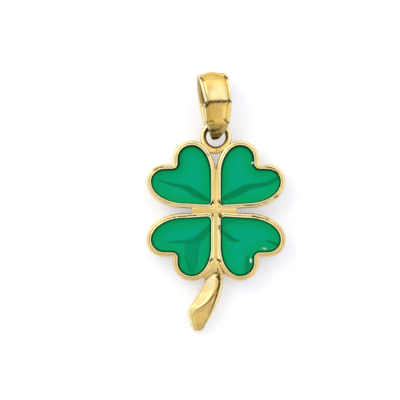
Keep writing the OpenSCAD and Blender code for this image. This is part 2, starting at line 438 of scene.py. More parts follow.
class Bench:
    """The piece that is being modelled, in edit mode, in millimetres."""

    def __init__(self, start: Callable[..., object], **sizes: object) -> None:
        """Deselects everything and adds a primitive.

        Args:
            start: The operator that adds the primitive.
            sizes: Its sizes and place.
        """
        bpy.ops.object.select_all(action="DESELECT")
        start(**sizes)
        self.piece = bpy.context.object
        bpy.ops.object.transform_apply(location=True, rotation=True, scale=True)
        bpy.ops.object.mode_set(mode="EDIT")
        bpy.ops.mesh.select_mode(type="VERT")

    @property
    def mesh(self) -> bmesh.types.BMesh:
        """Reads the mesh in edit mode.

        Returns:
            The mesh, with its tables ready.
        """
        mesh = bmesh.from_edit_mesh(self.piece.data)
        mesh.verts.ensure_lookup_table()
        mesh.faces.ensure_lookup_table()
        return mesh

    def select(self, kind: str, wanted: Callable[[bmesh.types.BMVert | bmesh.types.BMFace], bool]) -> None:
        """Selects just the points or faces for which a test holds.

        Args:
            kind: VERT for points, with the edges and faces between them, or FACE for faces.
            wanted: The test.
        """
        bpy.ops.mesh.select_all(action="DESELECT")
        bpy.ops.mesh.select_mode(type=kind)
        mesh = self.mesh
        for item in mesh.verts if kind == "VERT" else mesh.faces:
            item.select_set(bool(wanted(item)))
        if kind == "VERT":
            mesh.select_flush(True)
        bmesh.update_edit_mesh(self.piece.data)

    def select_top(self) -> None:
        """Selects the level face that lies highest."""
        top = max(face.calc_center_median().z for face in self.mesh.faces if face.normal.z > LEVEL)
        self.select("FACE", lambda face: face.normal.z > LEVEL and face.calc_center_median().z > top - MERGE)

    def place_selected(self, points: Sequence[Vector]) -> None:
        """Puts the selected face's points in their places.

        Args:
            points: The places, in order round the face.
        """
        mesh = self.mesh
        face = next(face for face in mesh.faces if face.select)
        first = min(range(len(face.verts)), key=lambda i: face.verts[i].index)
        count = len(face.verts)
        step = 1 if face.verts[(first + 1) % count].index == face.verts[first].index + 1 else -1
        for i, point in enumerate(points):
            face.verts[(first + step * i) % count].co = point
        bmesh.update_edit_mesh(self.piece.data)

    def put_right(self) -> None:
        """Merges doubled points and turns every face outwards."""
        select_whole()
        bpy.ops.mesh.remove_doubles(threshold=MERGE)
        bpy.ops.mesh.normals_make_consistent(inside=False)

    def leave(self) -> bpy.types.Object:
        """Goes back to object mode and gives the piece."""
        bpy.ops.object.mode_set(mode="OBJECT")
        return self.piece


def select_whole() -> None:
    """Selects the whole mesh in edit mode."""
    bpy.ops.mesh.select_all(action="SELECT")


def extrude(way: Sequence[float]) -> None:
    """Extrudes what is selected along a way."""
    bpy.ops.mesh.extrude_region_move(TRANSFORM_OT_translate={"value": way})


def step_over(steps: Table) -> None:
    """Insets the selected face again and again, by rows of an inset and a rise."""
    for inset, rise in steps:
        bpy.ops.mesh.inset(thickness=inset, depth=rise, use_even_offset=True)


def draw_face(corners: Sequence[Vector]) -> Bench:
    """Draws a single face.

    Args:
        corners: Its corners, in order.

    Returns:
        The bench with the face, selected.
    """
    bench = Bench(bpy.ops.mesh.primitive_circle_add, vertices=len(corners), radius=1, fill_type="NGON")
    bpy.ops.mesh.select_mode(type="FACE")
    select_whole()
    bench.place_selected(corners)
    return bench


def loft(sections: Sequence[Sequence[Vector]], ring: bool) -> bpy.types.Object:
    """Extrudes a section from place to place.

    Args:
        sections: The places of its points, section by section.
        ring: Whether the last section meets the first.

    Returns:
        The closed piece, in object mode.
    """
    bench = draw_face(sections[0])
    for section in sections[1:]:
        extrude((0, 0, 0))
        bench.place_selected(section)
    if ring:
        bench.select("FACE", lambda face: len(face.verts) == len(sections[0]))
        bpy.ops.mesh.bridge_edge_loops()
    bench.put_right()
    return bench.leave()


def pick(piece: bpy.types.Object) -> None:
    """Selects one piece alone and makes it the active one.

    Args:
        piece: The piece.
    """
    bpy.ops.object.select_all(action="DESELECT")
    bpy.context.view_layer.objects.active = piece
    piece.select_set(True)


def apply_modifier(piece: bpy.types.Object, kind: str, **settings: object) -> None:
    """Puts a modifier on a piece and applies it.

    Args:
        piece: The piece.
        kind: The modifier's type.
        settings: Its settings.
    """
    pick(piece)
    modifier = piece.modifiers.new(kind.lower(), kind)
    for key, value in settings.items():
        setattr(modifier, key, value)
    bpy.ops.object.modifier_apply(modifier=modifier.name)


def soften(piece: bpy.types.Object, levels: int) -> None:
    """Rounds a piece with a subdivision surface of that many levels."""
    apply_modifier(piece, "SUBSURF", levels=levels, render_levels=levels)


def hand_waves(piece: bpy.types.Object, height: float, size: float) -> None:
    """Gives a piece the slight waves that hand polishing leaves, but keeps its back level.

    Args:
        piece: The piece.
        height: How far they move the surface.
        size: How long they are.
    """
    level = [vert.co.z if vert.co.z < BACK_BAND else None for vert in piece.data.vertices]
    waves = bpy.data.textures.new(piece.name + "_waves", "CLOUDS")
    waves.noise_scale = size
    waves.noise_depth = 1
    apply_modifier(piece, "DISPLACE", texture=waves, texture_coords="LOCAL", strength=height, mid_level=0.5)
    for vert, kept in zip(piece.data.vertices, level):
        if kept is not None:
            vert.co.z = kept


@dataclass(frozen=True)
class DarkMark:
    """A dark mark along a line of pixels: a dent that the casting left with tarnish in it, a mark, or
    painted shade.

    Attributes:
        start: The pixel at one end.
        end: The pixel at its other end.
        reach: How far it reaches to each side, in millimetres.
        depth: How deep it is, in millimetres.
        dark: How dark it is. Over 1, its dark middle is broader.
    """

    start: Pair
    end: Pair
    reach: float = 0.1
    depth: float = 0.08
    dark: float = 1.0

    def weight(self, place: Vector) -> float:
        """Gives how much of the pit a place has, from 0 to 1."""
        away = beside(place, at_pixel(*self.start), at_pixel(*self.end))[0]
        return falloff(away + MARK_RAGGED * self.reach * noise.noise(place * MARK_GRAIN), self.reach)


def dark_marks(*rows: tuple[float, ...]) -> tuple[DarkMark, ...]:
    """Makes dark marks from rows of two pixels and, where they aren't the usual ones, reach, depth and dark.
    """
    return tuple(DarkMark(row[:2], row[2:4], *row[4:]) for row in rows)


def mark_darkness(place: Vector, marks: Sequence[DarkMark]) -> float:
    """Gives how dark some marks are at a place."""
    return max(dark_mark.weight(place) * dark_mark.dark for dark_mark in marks)


def press_in(piece: bpy.types.Object, marks: Sequence[DarkMark], lowest: float) -> None:
    """Presses pits into a piece's front.

    Args:
        piece: The piece, in millimetres.
        marks: The pits.
        lowest: The height below which nothing moves.
    """
    for vert in piece.data.vertices:
        if vert.co.z > lowest:
            vert.co.z -= max(dark_mark.weight(vert.co) * dark_mark.depth for dark_mark in marks)


class Part:
    """A part of the pendant. Each kind models its own shape and has its own tones.

    Attributes:
        name: The name of its piece.
        node: The node that it stands for.
        slot: The name of its finish, gold or enamel. The finish itself is handed to build.
        sharp: The angle in degrees from which an edge stays sharp.
        tones: The methods that give the numbers painted on its points, by name.
    """

    name: str = ""
    node: str = "clover_frame"
    slot: str = "gold"
    sharp: float = 50.0
    tones: dict[str, Callable[..., float]] = {}

    def model(self) -> bpy.types.Object:
        """Models the piece in millimetres."""
        raise NotImplementedError

    def build(self, material: bpy.types.Material) -> bpy.types.Object:
        """Models the piece, paints it, brings it to metres, dresses it and puts it in the frame.

        Args:
            material: What it is dressed in.

        Returns:
            The finished piece.
        """
        piece = self.model()
        for name, tone in self.tones.items():
            layer = piece.data.attributes.new(name, "FLOAT", "POINT")
            layer.data.foreach_set("value", [tone(self, vert.co) for vert in piece.data.vertices])
        pick(piece)
        piece.name = piece.data.name = self.name
        piece.scale = (MM, MM, MM)
        bpy.ops.object.transform_apply(location=True, rotation=True, scale=True)
        bpy.ops.object.shade_smooth_by_angle(angle=math.radians(self.sharp))
        piece.data.materials.clear()
        piece.data.materials.append(material)
        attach(piece, "root")
        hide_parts(self.node)
        log.info("%s: %d faces", self.name, len(piece.data.polygons))
        return piece


@dataclass(frozen=True)
class Arc:
    """An elliptical arc of a heart's outline, in shares of the heart's width and height.

    Attributes:
        centre: Its centre.
        radii: Its radii along X and Y.
        start: Its first angle, in degrees.
        end: Its last angle, in degrees.
    """

    centre: Pair
    radii: Pair
    start: float
    end: float


@dataclass
class Heart:
    """The outline that an enamel heart has in the upper right quarter.

    Attributes:
        width: Its width.
        height: Its height.
        corner: Its lower left corner.
        spacing: The rough distance between its points.
        samples: How many places of each stretch are searched for distances.
        middle: The place from which the whole outline is seen, in shares of the width and height.
        arcs: Its arcs, from the inner corner round.
    """

    width: float = 4.48
    height: float = 4.45
    corner: Pair = (0.35, 0.43)
    spacing: float = 0.06
    samples: int = 60
    middle: Pair = (0.42, 0.42)
    arcs: tuple[Arc, ...] = (
        Arc((0.445, 0.387), (0.555, 0.364), 270, 360),
        Arc((0.780, 0.391), (0.220, 0.209), 0, 90),
        Arc((0.650, 0.692), (0.091, 0.088), 270, 180),
        Arc((0.323, 0.775), (0.236, 0.225), 0, 90),
        Arc((0.323, 0.516), (0.323, 0.484), 90, 180),
        Arc((0.070, 0.070), (0.070, 0.070), 180, 270),
    )

    def __post_init__(self) -> None:
        """Collects the outline's places, to measure distances from them."""
        places = []
        count = self.samples
        for arc, after in zip(self.arcs, self.arcs[1:] + self.arcs[:1]):
            angles = [arc.start + (arc.end - arc.start) * i / count for i in range(count + 1)]
            places += [self.on_arc(arc, angle) for angle in angles]
            end, start = self.on_arc(arc, arc.end), self.on_arc(after, after.start)
            places += [end.lerp(start, i / count) for i in range(1, count)]
        self.tree = tree_of(places)

    def distance(self, place: Vector) -> float:
        """Measures how far a place in any quarter lies from the outline, seen from above."""
        return self.tree.find(Vector((abs(place.x), abs(place.y), 0)))[2]

    def at(self, share: Pair) -> Vector:
        """Gives the place in millimetres at shares of the width and height."""
        return Vector((self.corner[0] + share[0] * self.width, self.corner[1] + share[1] * self.height, 0))

    @property
    def eye(self) -> Vector:
        """Gives the place from which the whole outline is seen."""
        return self.at(self.middle)

    def way_out(self, place: Vector, quarter: Quarter) -> Vector:
        """Gives the direction from that place, in a quarter, to another place, seen from above."""
        eye = Vector((self.eye.x * quarter.value[0], self.eye.y * quarter.value[1]))
        return (place.xy - eye).normalized()

    def on_arc(self, arc: Arc, angle: float) -> Vector:
        """Finds a place on an arc.

        Args:
            arc: The arc.
            angle: The angle, in degrees.

        Returns:
            The place there, in millimetres.
        """
        turn = math.radians(angle)
        across, up = arc.radii[0] * self.width * math.cos(turn), arc.radii[1] * self.height * math.sin(turn)
        return self.at(arc.centre) + Vector((across, up, 0))

    def draw(self) -> Bench:
        """Draws the outline from one point, by extruding its straight stretches and spinning its arcs.

        Returns:
            The bench with the closed outline on it, all selected.
        """
        here = self.on_arc(self.arcs[0], self.arcs[0].start)
        bench = Bench(bpy.ops.mesh.primitive_plane_add, size=1, location=here)
        select_whole()
        bpy.ops.mesh.merge(type="CENTER")
        for arc in self.arcs:
            start = self.on_arc(arc, arc.start)
            if (start - here).length > SAME:
                self.draw_line(start - here)
            self.draw_arc(bench, arc, start)
            here = self.on_arc(arc, arc.end)
        self.draw_line(self.on_arc(self.arcs[0], self.arcs[0].start) - here)
        select_whole()
        bpy.ops.mesh.remove_doubles(threshold=MERGE)
        return bench

    def draw_line(self, way: Vector) -> None:
        """Extrudes the selected point along a straight stretch.

        Args:
            way: The whole stretch, which is taken in even steps.
        """
        steps = max(1, round(way.length / self.spacing))
        for _ in range(steps):
            extrude(way / steps)

    def draw_arc(self, bench: Bench, arc: Arc, start: Vector) -> None:
        """Spins the selected point round an arc and stretches the circle to the ellipse.

        Args:
            bench: The bench with the outline.
            arc: The arc.
            start: The arc's first point.
        """
        centre = self.at(arc.centre)
        radii = (arc.radii[0] * self.width, arc.radii[1] * self.height)
        turn = math.radians(arc.end - arc.start)
        steps = max(4, round(abs(turn) * sum(radii) / 2 / self.spacing))
        before = len(bench.mesh.verts)
        bpy.ops.mesh.spin(steps=steps, angle=-turn, center=centre, axis=(0, 0, 1))
        level = abs(start.y - centre.y) < SAME
        stretch = (1, radii[1] / radii[0], 1) if level else (radii[0] / radii[1], 1, 1)
        bench.select("VERT", lambda vert: vert.index >= before)
        bpy.ops.transform.resize(value=stretch, center_override=centre)
        bench.select("VERT", lambda vert: vert.index == len(bench.mesh.verts) - 1)

    def wall(self, outward: float, height: float) -> Bench:
        """Raises the outline into a closed wall with a floor and a top.

        Args:
            outward: How far it lies outside the heart.
            height: How high it stands.

        Returns:
            The bench with the closed block, its top selected.
        """
        bench = self.draw()
        extrude((0, 0, height))
        select_whole()
        bpy.ops.mesh.normals_make_consistent(inside=False)
        face = bench.mesh.faces[0]
        inside_out = face.normal.dot(face.calc_center_median() - self.eye) < 0
        bpy.ops.transform.shrink_fatten(value=-outward if inside_out else outward, use_even_offset=True)
        bpy.ops.mesh.fill_holes(sides=0)
        bench.put_right()
        bench.select_top()
        return bench


def into_quarter(piece: bpy.types.Object, quarter: Quarter) -> None:
    """Turns a leaf's piece over from the upper right quarter into its own.

    Args:
        piece: The piece.
        quarter: Its quarter.
    """
    pick(piece)
    bpy.ops.object.mode_set(mode="EDIT")
    select_whole()
    bpy.ops.transform.resize(value=(*quarter.value, 1), center_override=(0, 0, 0))
    bpy.ops.mesh.normals_make_consistent(inside=False)
    bpy.ops.object.mode_set(mode="OBJECT")


DASHES = ((173.4, 217.4), (178.4, 216.9), (183.6, 216.4), (188.8, 215.8), (193.6, 215.4))
# dents that the casting left, with tarnish in them, and painted shade in the corners of the cross
CASTING_PITS_AND_CORNER_SHADE = dark_marks(
    # the first four rows, at the corners of the cross, are painted shade where the gaps between the leaves
    # fall dark, also pressed in as small dents
    (210.8, 205, 213.3, 201.2, 0.11, 0.14, 1.2),
    (218.5, 201, 222.2, 204.8, 0.12, 0.14, 1.2),
    (212.9, 213.8, 213.2, 216.2, 0.13, 0.14, 1.3),
    (219.4, 213.6, 220.8, 217, 0.20, 0.20),
    (219.2, 226, 219.2, 229, 0.11, 0.10),
    (220.3, 231.4, 220.9, 232.6, 0.08, 0.08),
    (251, 216, 258.6, 217.4, 0.08, 0.06, 0.6),
    (253, 216, 255.6, 216.6, 0.07, 0.06, 1.3),
    (257, 217, 258.6, 217.4, 0.06, 0.06, 1.3),
    (260.4, 217.6, 262.6, 218.2, 0.06, 0.06, 1.1),
    (265.6, 218.8, 268.2, 219.4, 0.06, 0.06, 1.1),
    (182, 216.6, 192, 215.2, 0.08, 0.06, 0.4),
    *((x, y, x + 2.2, y - 0.3, 0.055, 0.05, 1.1) for x, y in DASHES),
    (243.6, 205.6, 259.3, 204.6, 0.07, 0.06, 0.8),
    (274.6, 197.6, 277.6, 196.1, 0.09, 0.08, 1.2),
    (153.4, 171, 158, 168, 0.07, 0.06, 0.9),
    (158, 168, 164.1, 166.7, 0.06, 0.05, 0.9),
    (265, 166.7, 273, 168.6, 0.06, 0.05, 0.9),
    (273, 168.6, 279, 174.6, 0.06, 0.05, 0.9),
    (210.4, 260.8, 212.6, 259, 0.10, 0.08, 1.4),
    (217.6, 259.6, 220.6, 261.6, 0.09, 0.08, 1.3),
    (206.4, 154.4, 208.4, 155.6, 0.07, 0.05, 0.8),
)


@dataclass
class GoldLeaf(Part):
    """The gold cell of one leaf: a rounded bead outside, a fine groove and a thin lip at the enamel.

    Attributes:
        quarter: Where it lies.
        heart: The enamel's outline.
        width: The rim's width.
        shoulder: The height at which its outer wall starts to round over.
        floor: The height of the cell's floor.
        face: The height from which its tones are those of its front.
        groove: How far its groove lies from the enamel.
        groove_fade: How far the groove's tarnish fades out to each side.
        lip: The width of its lip.
        long_lip: The same along the channel between the two upper leaves.
        ragged_y: How far from the cross its groove is ragged.
        channel_x: Half of the width of the dark middle of the upright channels.
        channel_y: Where along Y those channels start and end, from the cross.
        far_x: Where along X the full shade on the far side of the lower right leaf starts.
        far_fade: How far that shade fades out towards the middle.
        far_away: How far from the enamel that shade starts.
        foot_x: How far the painted highlight beside the foot lies from the middle.
        foot_reach: Half of the width of that line.
        foot_y: Where along Y that line starts and ends.
        steps: The way over the rim, as insets and rises.
    """

    quarter: Quarter
    heart: Heart
    width: float = 0.35
    shoulder: float = 1.06
    floor: float = 0.6
    face: float = 1.16
    groove: float = 0.125
    groove_fade: float = 0.035
    lip: float = 0.095
    long_lip: float = 0.13
    ragged_y: float = 0.9
    channel_x: float = 0.12
    channel_y: Pair = (0.45, 3.5)
    far_x: float = 4.8
    far_fade: float = 1.2
    far_away: float = 0.16
    foot_x: float = 0.31
    foot_reach: float = 0.15
    foot_y: Pair = (-3.6, -0.6)
    steps: Table = (
        (0.006, 0.18), (0.012, 0.16), (0.020, 0.12), (0.030, 0.07), (0.045, 0.045), (0.050, 0.02),
        (0.037, -0.003), (0.018, -0.022), (0.012, -0.01), (0.014, 0.025), (0.020, 0.045), (0.020, 0.03),
        (0.030, 0.008), (0.024, -0.004), (0.008, -0.025), (0.004, -0.036),
    )

    @property
    def name(self) -> str:
        """Gives the name of its piece."""
        return "gold_leaf_" + self.quarter.label

    def model(self) -> bpy.types.Object:
        """Models the cell in the upper right quarter and turns it into its own.

        Returns:
            The piece in millimetres.
        """
        bench = self.heart.wall(self.width, self.shoulder)
        step_over(self.steps)
        rim_top = max(vert.co.z for vert in bench.mesh.verts)
        extrude((0, 0, self.floor - rim_top))
        bench.select("FACE", lambda face: face.normal.z < -LEVEL)
        bpy.ops.mesh.bevel(offset=0.05, segments=3, affect="EDGES")
        piece = bench.leave()
        into_quarter(piece, self.quarter)
        hand_waves(piece, height=0.015, size=0.9)
        press_in(piece, CASTING_PITS_AND_CORNER_SHADE, self.shoulder)
        return piece

    def tarnish_and_shade(self, place: Vector) -> float:
        """Gives how dark a place on the rim is.

        Args:
            place: The place.

        Returns:
            The tarnish in the groove, which is ragged near the cross, and in the dents, and painted shade on
            the outer wall, most where it faces down and right.
        """
        away = self.heart.distance(place)
        groove = 0.35 * falloff(abs(away - self.groove), self.groove_fade)
        if abs(place.y) < self.ragged_y:
            ragged = 2.6 * noise.noise(place * 9)
            groove = max(groove, ragged * falloff(abs(away - self.groove + 0.015), 0.055))
        way = self.heart.way_out(place, self.quarter)
        # painted shade on the outer wall, strongest where it faces down and to the right
        shade = 0.15 + 0.35 * max(0.0, -way.y) + 0.15 * max(0.0, way.x)
        wall = shade * falloff(self.width - away, 0.05)
        return max(groove, wall, mark_darkness(place, CASTING_PITS_AND_CORNER_SHADE))

    def channel(self, place: Vector) -> float:
        """Gives how far a place lies in the upright channel between two leaves, from 0 to 1."""
        start, end = self.channel_y
        return falloff(abs(place.x) - self.channel_x, 0.08) if start < abs(place.y) < end else 0.0

    def dusk(self, place: Vector) -> float:
        """Gives how far a place on the rim is in its own shade.

        Args:
            place: The place.

        Returns:
            The shade in the channel, and on the far side of the lower right leaf.
        """
        if place.z < self.face:
            return 0.0
        far_side = 0.0
        if self.quarter is Quarter.LOWER_RIGHT and self.heart.distance(place) > self.far_away:
            far_side = 0.75 * falloff(self.far_x - place.x, self.far_fade)
        return max(0.52 * self.channel(place), far_side)

    def wear_and_highlight(self, place: Vector) -> float:
        """Gives how pale a place on the rim is painted.

        Args:
            place: The place.

        Returns:
            The painted highlight: most on the lip and beside the foot, and half on the bead, stronger
                towards the top and beside the level channel; the walls below the face get an even pale tone.
        """
        if place.z < self.face:
            return 0.22
        # painted highlight on the lip, beside the foot and on the bead
        lip_width = self.long_lip if place.y > 0.6 and abs(place.x) < 0.5 else self.lip
        lip = falloff(self.heart.distance(place) - lip_width, 0.035)
        lip *= 0.6 + 0.4 * falloff(min(abs(place.x), abs(place.y)) - 0.5, 0.8)
        beside_foot = 0.0
        if self.foot_y[0] < place.y < self.foot_y[1]:
            beside_foot = falloff(abs(abs(place.x) - self.foot_x) - self.foot_reach, 0.05)
        bead = 0.25 + 0.035 * place.y + 0.25 * falloff(abs(place.y) - 0.4, 0.15)
        return max(lip, bead * (1 - self.channel(place)), beside_foot)

    tones = {"tarnish_and_shade": tarnish_and_shade, "wear_and_highlight": wear_and_highlight, "dusk": dusk}


class Fold:
    """A soft fold in the enamel along a line of pixels, dipped slightly and painted dark as its reflection.
    """

    def __init__(self, dark: float, *points: tuple[float, float, float]) -> None:
        """Keeps its tone and its line.

        Args:
            dark: How dark it is, from 0 to 1.
            points: Its line, point by point: pixel column, pixel row, half of its width in millimetres.
        """
        self.dark = dark
        self.points = points

    def weight(self, place: Vector) -> float:
        """Gives how much of the fold a place has.

        Args:
            place: The place.

        Returns:
            The weight, from 0 to 1.
        """
        best = 0.0
        for (x0, y0, width0), (x1, y1, width1) in zip(self.points, self.points[1:]):
            away, share = beside(place, at_pixel(x0, y0), at_pixel(x1, y1))
            reach = width0 + (width1 - width0) * share
            best = max(best, falloff(away - 0.5 * reach, 0.6 * reach))
        return best


ENAMEL_FOLDS = {
    Quarter.UPPER_LEFT: (
        Fold(
            0.9, (159.5, 180.5, 0.06), (165, 182.3, 0.10), (173, 185, 0.15), (180, 186.3, 0.20),
            (188, 188.6, 0.29), (195, 193.8, 0.32), (202.5, 197.5, 0.26), (208.5, 200.5, 0.18),
        ),
    ),
    Quarter.UPPER_RIGHT: (
        Fold(
            0.9, (223.5, 198.8, 0.20), (231, 195.5, 0.31), (238.5, 192, 0.34), (244, 189, 0.35),
            (251, 186.5, 0.26), (258.5, 185.3, 0.21), (266, 184.3, 0.20), (272, 181.5, 0.17),
            (278, 177.8, 0.13),
        ),
    ),
    Quarter.LOWER_LEFT: (
        Fold(
            0.75, (210, 227, 0.24), (206, 231.5, 0.31), (201.5, 236.5, 0.36), (197, 240, 0.36),
            (191.5, 241.5, 0.28), (185, 241.8, 0.18), (169, 242, 0.08),
        ),
        Fold(0.5, (191.5, 245, 0.72), (192.5, 257, 0.50), (193.2, 271, 0.28)),
        Fold(0.7, (200, 238, 0.16), (197, 250, 0.14), (196.6, 264, 0.10)),
        Fold(0.75, (185, 256, 0.08), (187.5, 262.5, 0.11), (190.2, 271, 0.16)),
    ),
    Quarter.LOWER_RIGHT: (
        Fold(
            0.9, (223, 232, 0.15), (227, 235.5, 0.20), (231, 239, 0.21), (235, 240.5, 0.15),
            (239.5, 240.8, 0.07),
        ),
        Fold(1.0, (266.5, 240.5, 0.06), (271, 242.3, 0.12), (275.5, 244, 0.17), (279, 245.8, 0.20)),
        Fold(0.7, (248, 258.5, 0.24), (248.5, 266, 0.40), (249.5, 271, 0.42)),
        Fold(0.3, (224, 222, 0.30), (240, 217.6, 0.26), (262, 220, 0.20)),
    ),
}

BLISTER_GLINTS = (
    (252.5, 163.0, 1.6), (263.8, 248.3, 0.7), (265.0, 248.6, 0.5), (250.4, 259.6, 1.6), (250.7, 261.2, 1.4),
)


@dataclass
class EnamelLeaf(Part):
    """The enamel in one leaf: a dished face that climbs to the gold at its edge, with soft folds.

    Attributes:
        quarter: Where it lies.
        heart: The enamel's outline.
        gap: The space that it leaves to the gold.
        base: The height of its underside.
        top: The height of its edge.
        skin: How far over its underside its face starts, the only part that has folds and blisters.
        relief: The depth of its folds and the height of its blisters.
        blister_reach: The radius of a blister and of its painted highlight.
        middle_reach: How far inside the gold its middle's tone is full.
        edge_flat: How far inside the gold the painted shade along it is full.
        edge_fade: How far it fades out from there.
        rings: The way from its edge to its middle, as shares of the outline and depths.
    """

    quarter: Quarter
    heart: Heart
    gap: float = 0.015
    base: float = 0.62
    top: float = 1.62
    skin: float = 0.3
    relief: float = 0.02
    blister_reach: float = 0.11
    middle_reach: float = 1.3
    edge_flat: float = 0.045
    edge_fade: float = 0.115
    rings: Table = (
        (0.985, 0.035), (0.965, 0.065), (0.94, 0.09), (0.91, 0.115), (0.87, 0.14), (0.83, 0.16),
        (0.78, 0.18), (0.73, 0.195), (0.68, 0.205), (0.62, 0.215), (0.56, 0.222), (0.50, 0.228),
        (0.43, 0.233), (0.36, 0.236), (0.29, 0.238), (0.22, 0.239), (0.15, 0.240), (0.08, 0.240),
    )
    slot = "enamel"
    sharp = 35.0

    @property
    def name(self) -> str:
        """Gives the name of its piece."""
        return "enamel_leaf_" + self.quarter.label

    @property
    def node(self) -> str:
        """Gives the node that it stands for."""
        return "enamel_" + self.quarter.label

    def model(self) -> bpy.types.Object:
        """Models the enamel in the upper right quarter and turns it into its own.

        Returns:
            The piece in millimetres.
        """
        bench = self.heart.wall(-self.gap, self.top - self.base)
        share, depth = 1.0, 0.0
        for next_share, next_depth in self.rings:
            extrude((0, 0, depth - next_depth))
            factor = next_share / share
            bpy.ops.transform.resize(value=(factor, factor, 1), center_override=self.heart.eye)
            share, depth = next_share, next_depth
        bpy.ops.mesh.poke()
        select_whole()
        bpy.ops.transform.translate(value=(0, 0, self.base))
        piece = bench.leave()
        into_quarter(piece, self.quarter)
        for vert in piece.data.vertices:
            if vert.co.z > self.base + self.skin:
                vert.co.z -= self.relief * max(fold.weight(vert.co) for fold in ENAMEL_FOLDS[self.quarter])
                vert.co.z += self.relief * self.blister_glint(vert.co)
        return piece

    def fold(self, place: Vector) -> float:
        """Gives how dark the folds' painted reflection is at a place."""
        return max(fold.weight(place) * fold.dark for fold in ENAMEL_FOLDS[self.quarter])

    def middle(self, place: Vector) -> float:
        """Gives how far a place is in the middle of the leaf, from 0 to 1."""
        return 1 - falloff(self.heart.distance(place), self.middle_reach)

    def blister_glint(self, place: Vector) -> float:
        """Gives how much of a blister and of its painted highlight a place has, from 0 to 1."""
        blisters = (full * near_pixel(place, (x, y), self.blister_reach) for x, y, full in BLISTER_GLINTS)
        return min(1.0, max(blisters))

    def edge(self, place: Vector) -> float:
        """Gives the painted shade along the gold.

        Args:
            place: The place.

        Returns:
            How dark it is. The line is broader on the leaf's outer side.
        """
        broad = self.heart.way_out(place, self.quarter).y * (0.35 + 0.65 * self.quarter.value[1])
        away = self.heart.distance(place) - self.gap
        return falloff(away - self.edge_flat - 0.03 * broad, self.edge_fade + 0.05 * broad)

    tones = {"fold": fold, "edge": edge, "blister_glint": blister_glint, "middle": middle}


@dataclass
class Web(Part):
    """The cross-shaped plate between the leaves, with a raised middle line.

    Attributes:
        height: The height of its face.
        back: The height of its underside.
        left: How far its left arm reaches.
        right: How far its right arm reaches.
        up: How far its upper arm reaches.
        down: How far its lower arm reaches.
        arm_x: Half of the width of its upright arms.
        arm_y: Half of the width of its level arms.
        end: How much of each level arm's end is darkened with painted shade.
        line: Half of the width of its bright middle line.
        line_end: How far from the cross that line reaches.
        shaded_y: Where the shade of the ring starts, along Y.
        bevelled: The angle in degrees from which an edge is bevelled.
        steps: The way from its edge to the middle line, as insets and rises.
    """

    height: float = 1.55
    back: float = 0.12
    left: float = 1.78
    right: float = 1.56
    up: float = 3.1
    down: float = 3.6
    arm_x: float = 0.21
    arm_y: float = 0.26
    end: float = 0.06
    line: float = 0.12
    line_end: float = 1.0
    shaded_y: float = 2.0
    bevelled: float = 25.0
    steps: Table = ((0.03, 0.03), (0.05, 0.01), (0.03, 0.03))
    name = "gold_web"
    sharp = 30.0

    def model(self) -> bpy.types.Object:
        """Models the plate.

        Returns:
            The piece in millimetres.
        """
        x, y = self.arm_x, self.arm_y
        bench = draw_face([Vector((*corner, self.back)) for corner in (
            (-x, self.up), (x, self.up), (x, y), (self.right, y), (self.right, -y), (x, -y),
            (x, -self.down), (-x, -self.down), (-x, -y), (-self.left, -y), (-self.left, y), (-x, y),
        )])
        extrude((0, 0, self.height - self.back))
        bench.put_right()
        bench.select_top()
        step_over(self.steps)
        piece = bench.leave()
        limit = math.radians(self.bevelled)
        apply_modifier(piece, "BEVEL", width=0.02, segments=2, limit_method="ANGLE", angle_limit=limit)
        return piece

    def tarnish_and_shade(self, place: Vector) -> float:
        """Gives the painted shade: most at the ends of the level arms, and a little on the level arms."""
        at_end = place.x > self.right - self.end or place.x < self.end - self.left
        return 0.3 if at_end else (0.14 if abs(place.y) < 0.3 else 0.0)

    def wear_and_highlight(self, place: Vector) -> float:
        """Gives its painted highlight, a little all over and more along the middle line near the cross."""
        return 0.25 if abs(place.x) < self.line and abs(place.y) < self.line_end else 0.15

    def dusk(self, place: Vector) -> float:
        """Gives the shade: most near the ring, and some along the upright arms."""
        beside_cross = abs(place.x) < 0.3 and abs(place.y) > 0.2
        return 0.85 if place.y > self.shaded_y else (0.5 if beside_cross else 0.2)

    tones = {"tarnish_and_shade": tarnish_and_shade, "wear_and_highlight": wear_and_highlight, "dusk": dusk}


# dents round the stem's root, with tarnish in them, and painted shade between the foot and the stem
ROOT_PITS_AND_SHADE = dark_marks(
    (217.6, 268.6, 217.6, 271.6, 0.09, 0.04, 1.3),
    (213.4, 273.2, 214.8, 273, 0.08, 0.05, 1.0),
    (216, 272.8, 217.2, 273.4, 0.11, 0.10, 1.2),
    (218.6, 272.6, 218.9, 275, 0.09, 0.07, 1.0),
    (216.4, 277.2, 218, 276.2, 0.10, 0.14),
    (218.4, 276.6, 219.8, 279.4, 0.10, 0.14),
    # painted shade along the join of the foot and the stem's left edge, pressed in as a shallow groove too
    (206.2, 279.6, 208.6, 276.4, 0.08, 0.05, 0.3),
    (208.6, 276.4, 211.6, 274, 0.08, 0.04, 0.3),
)


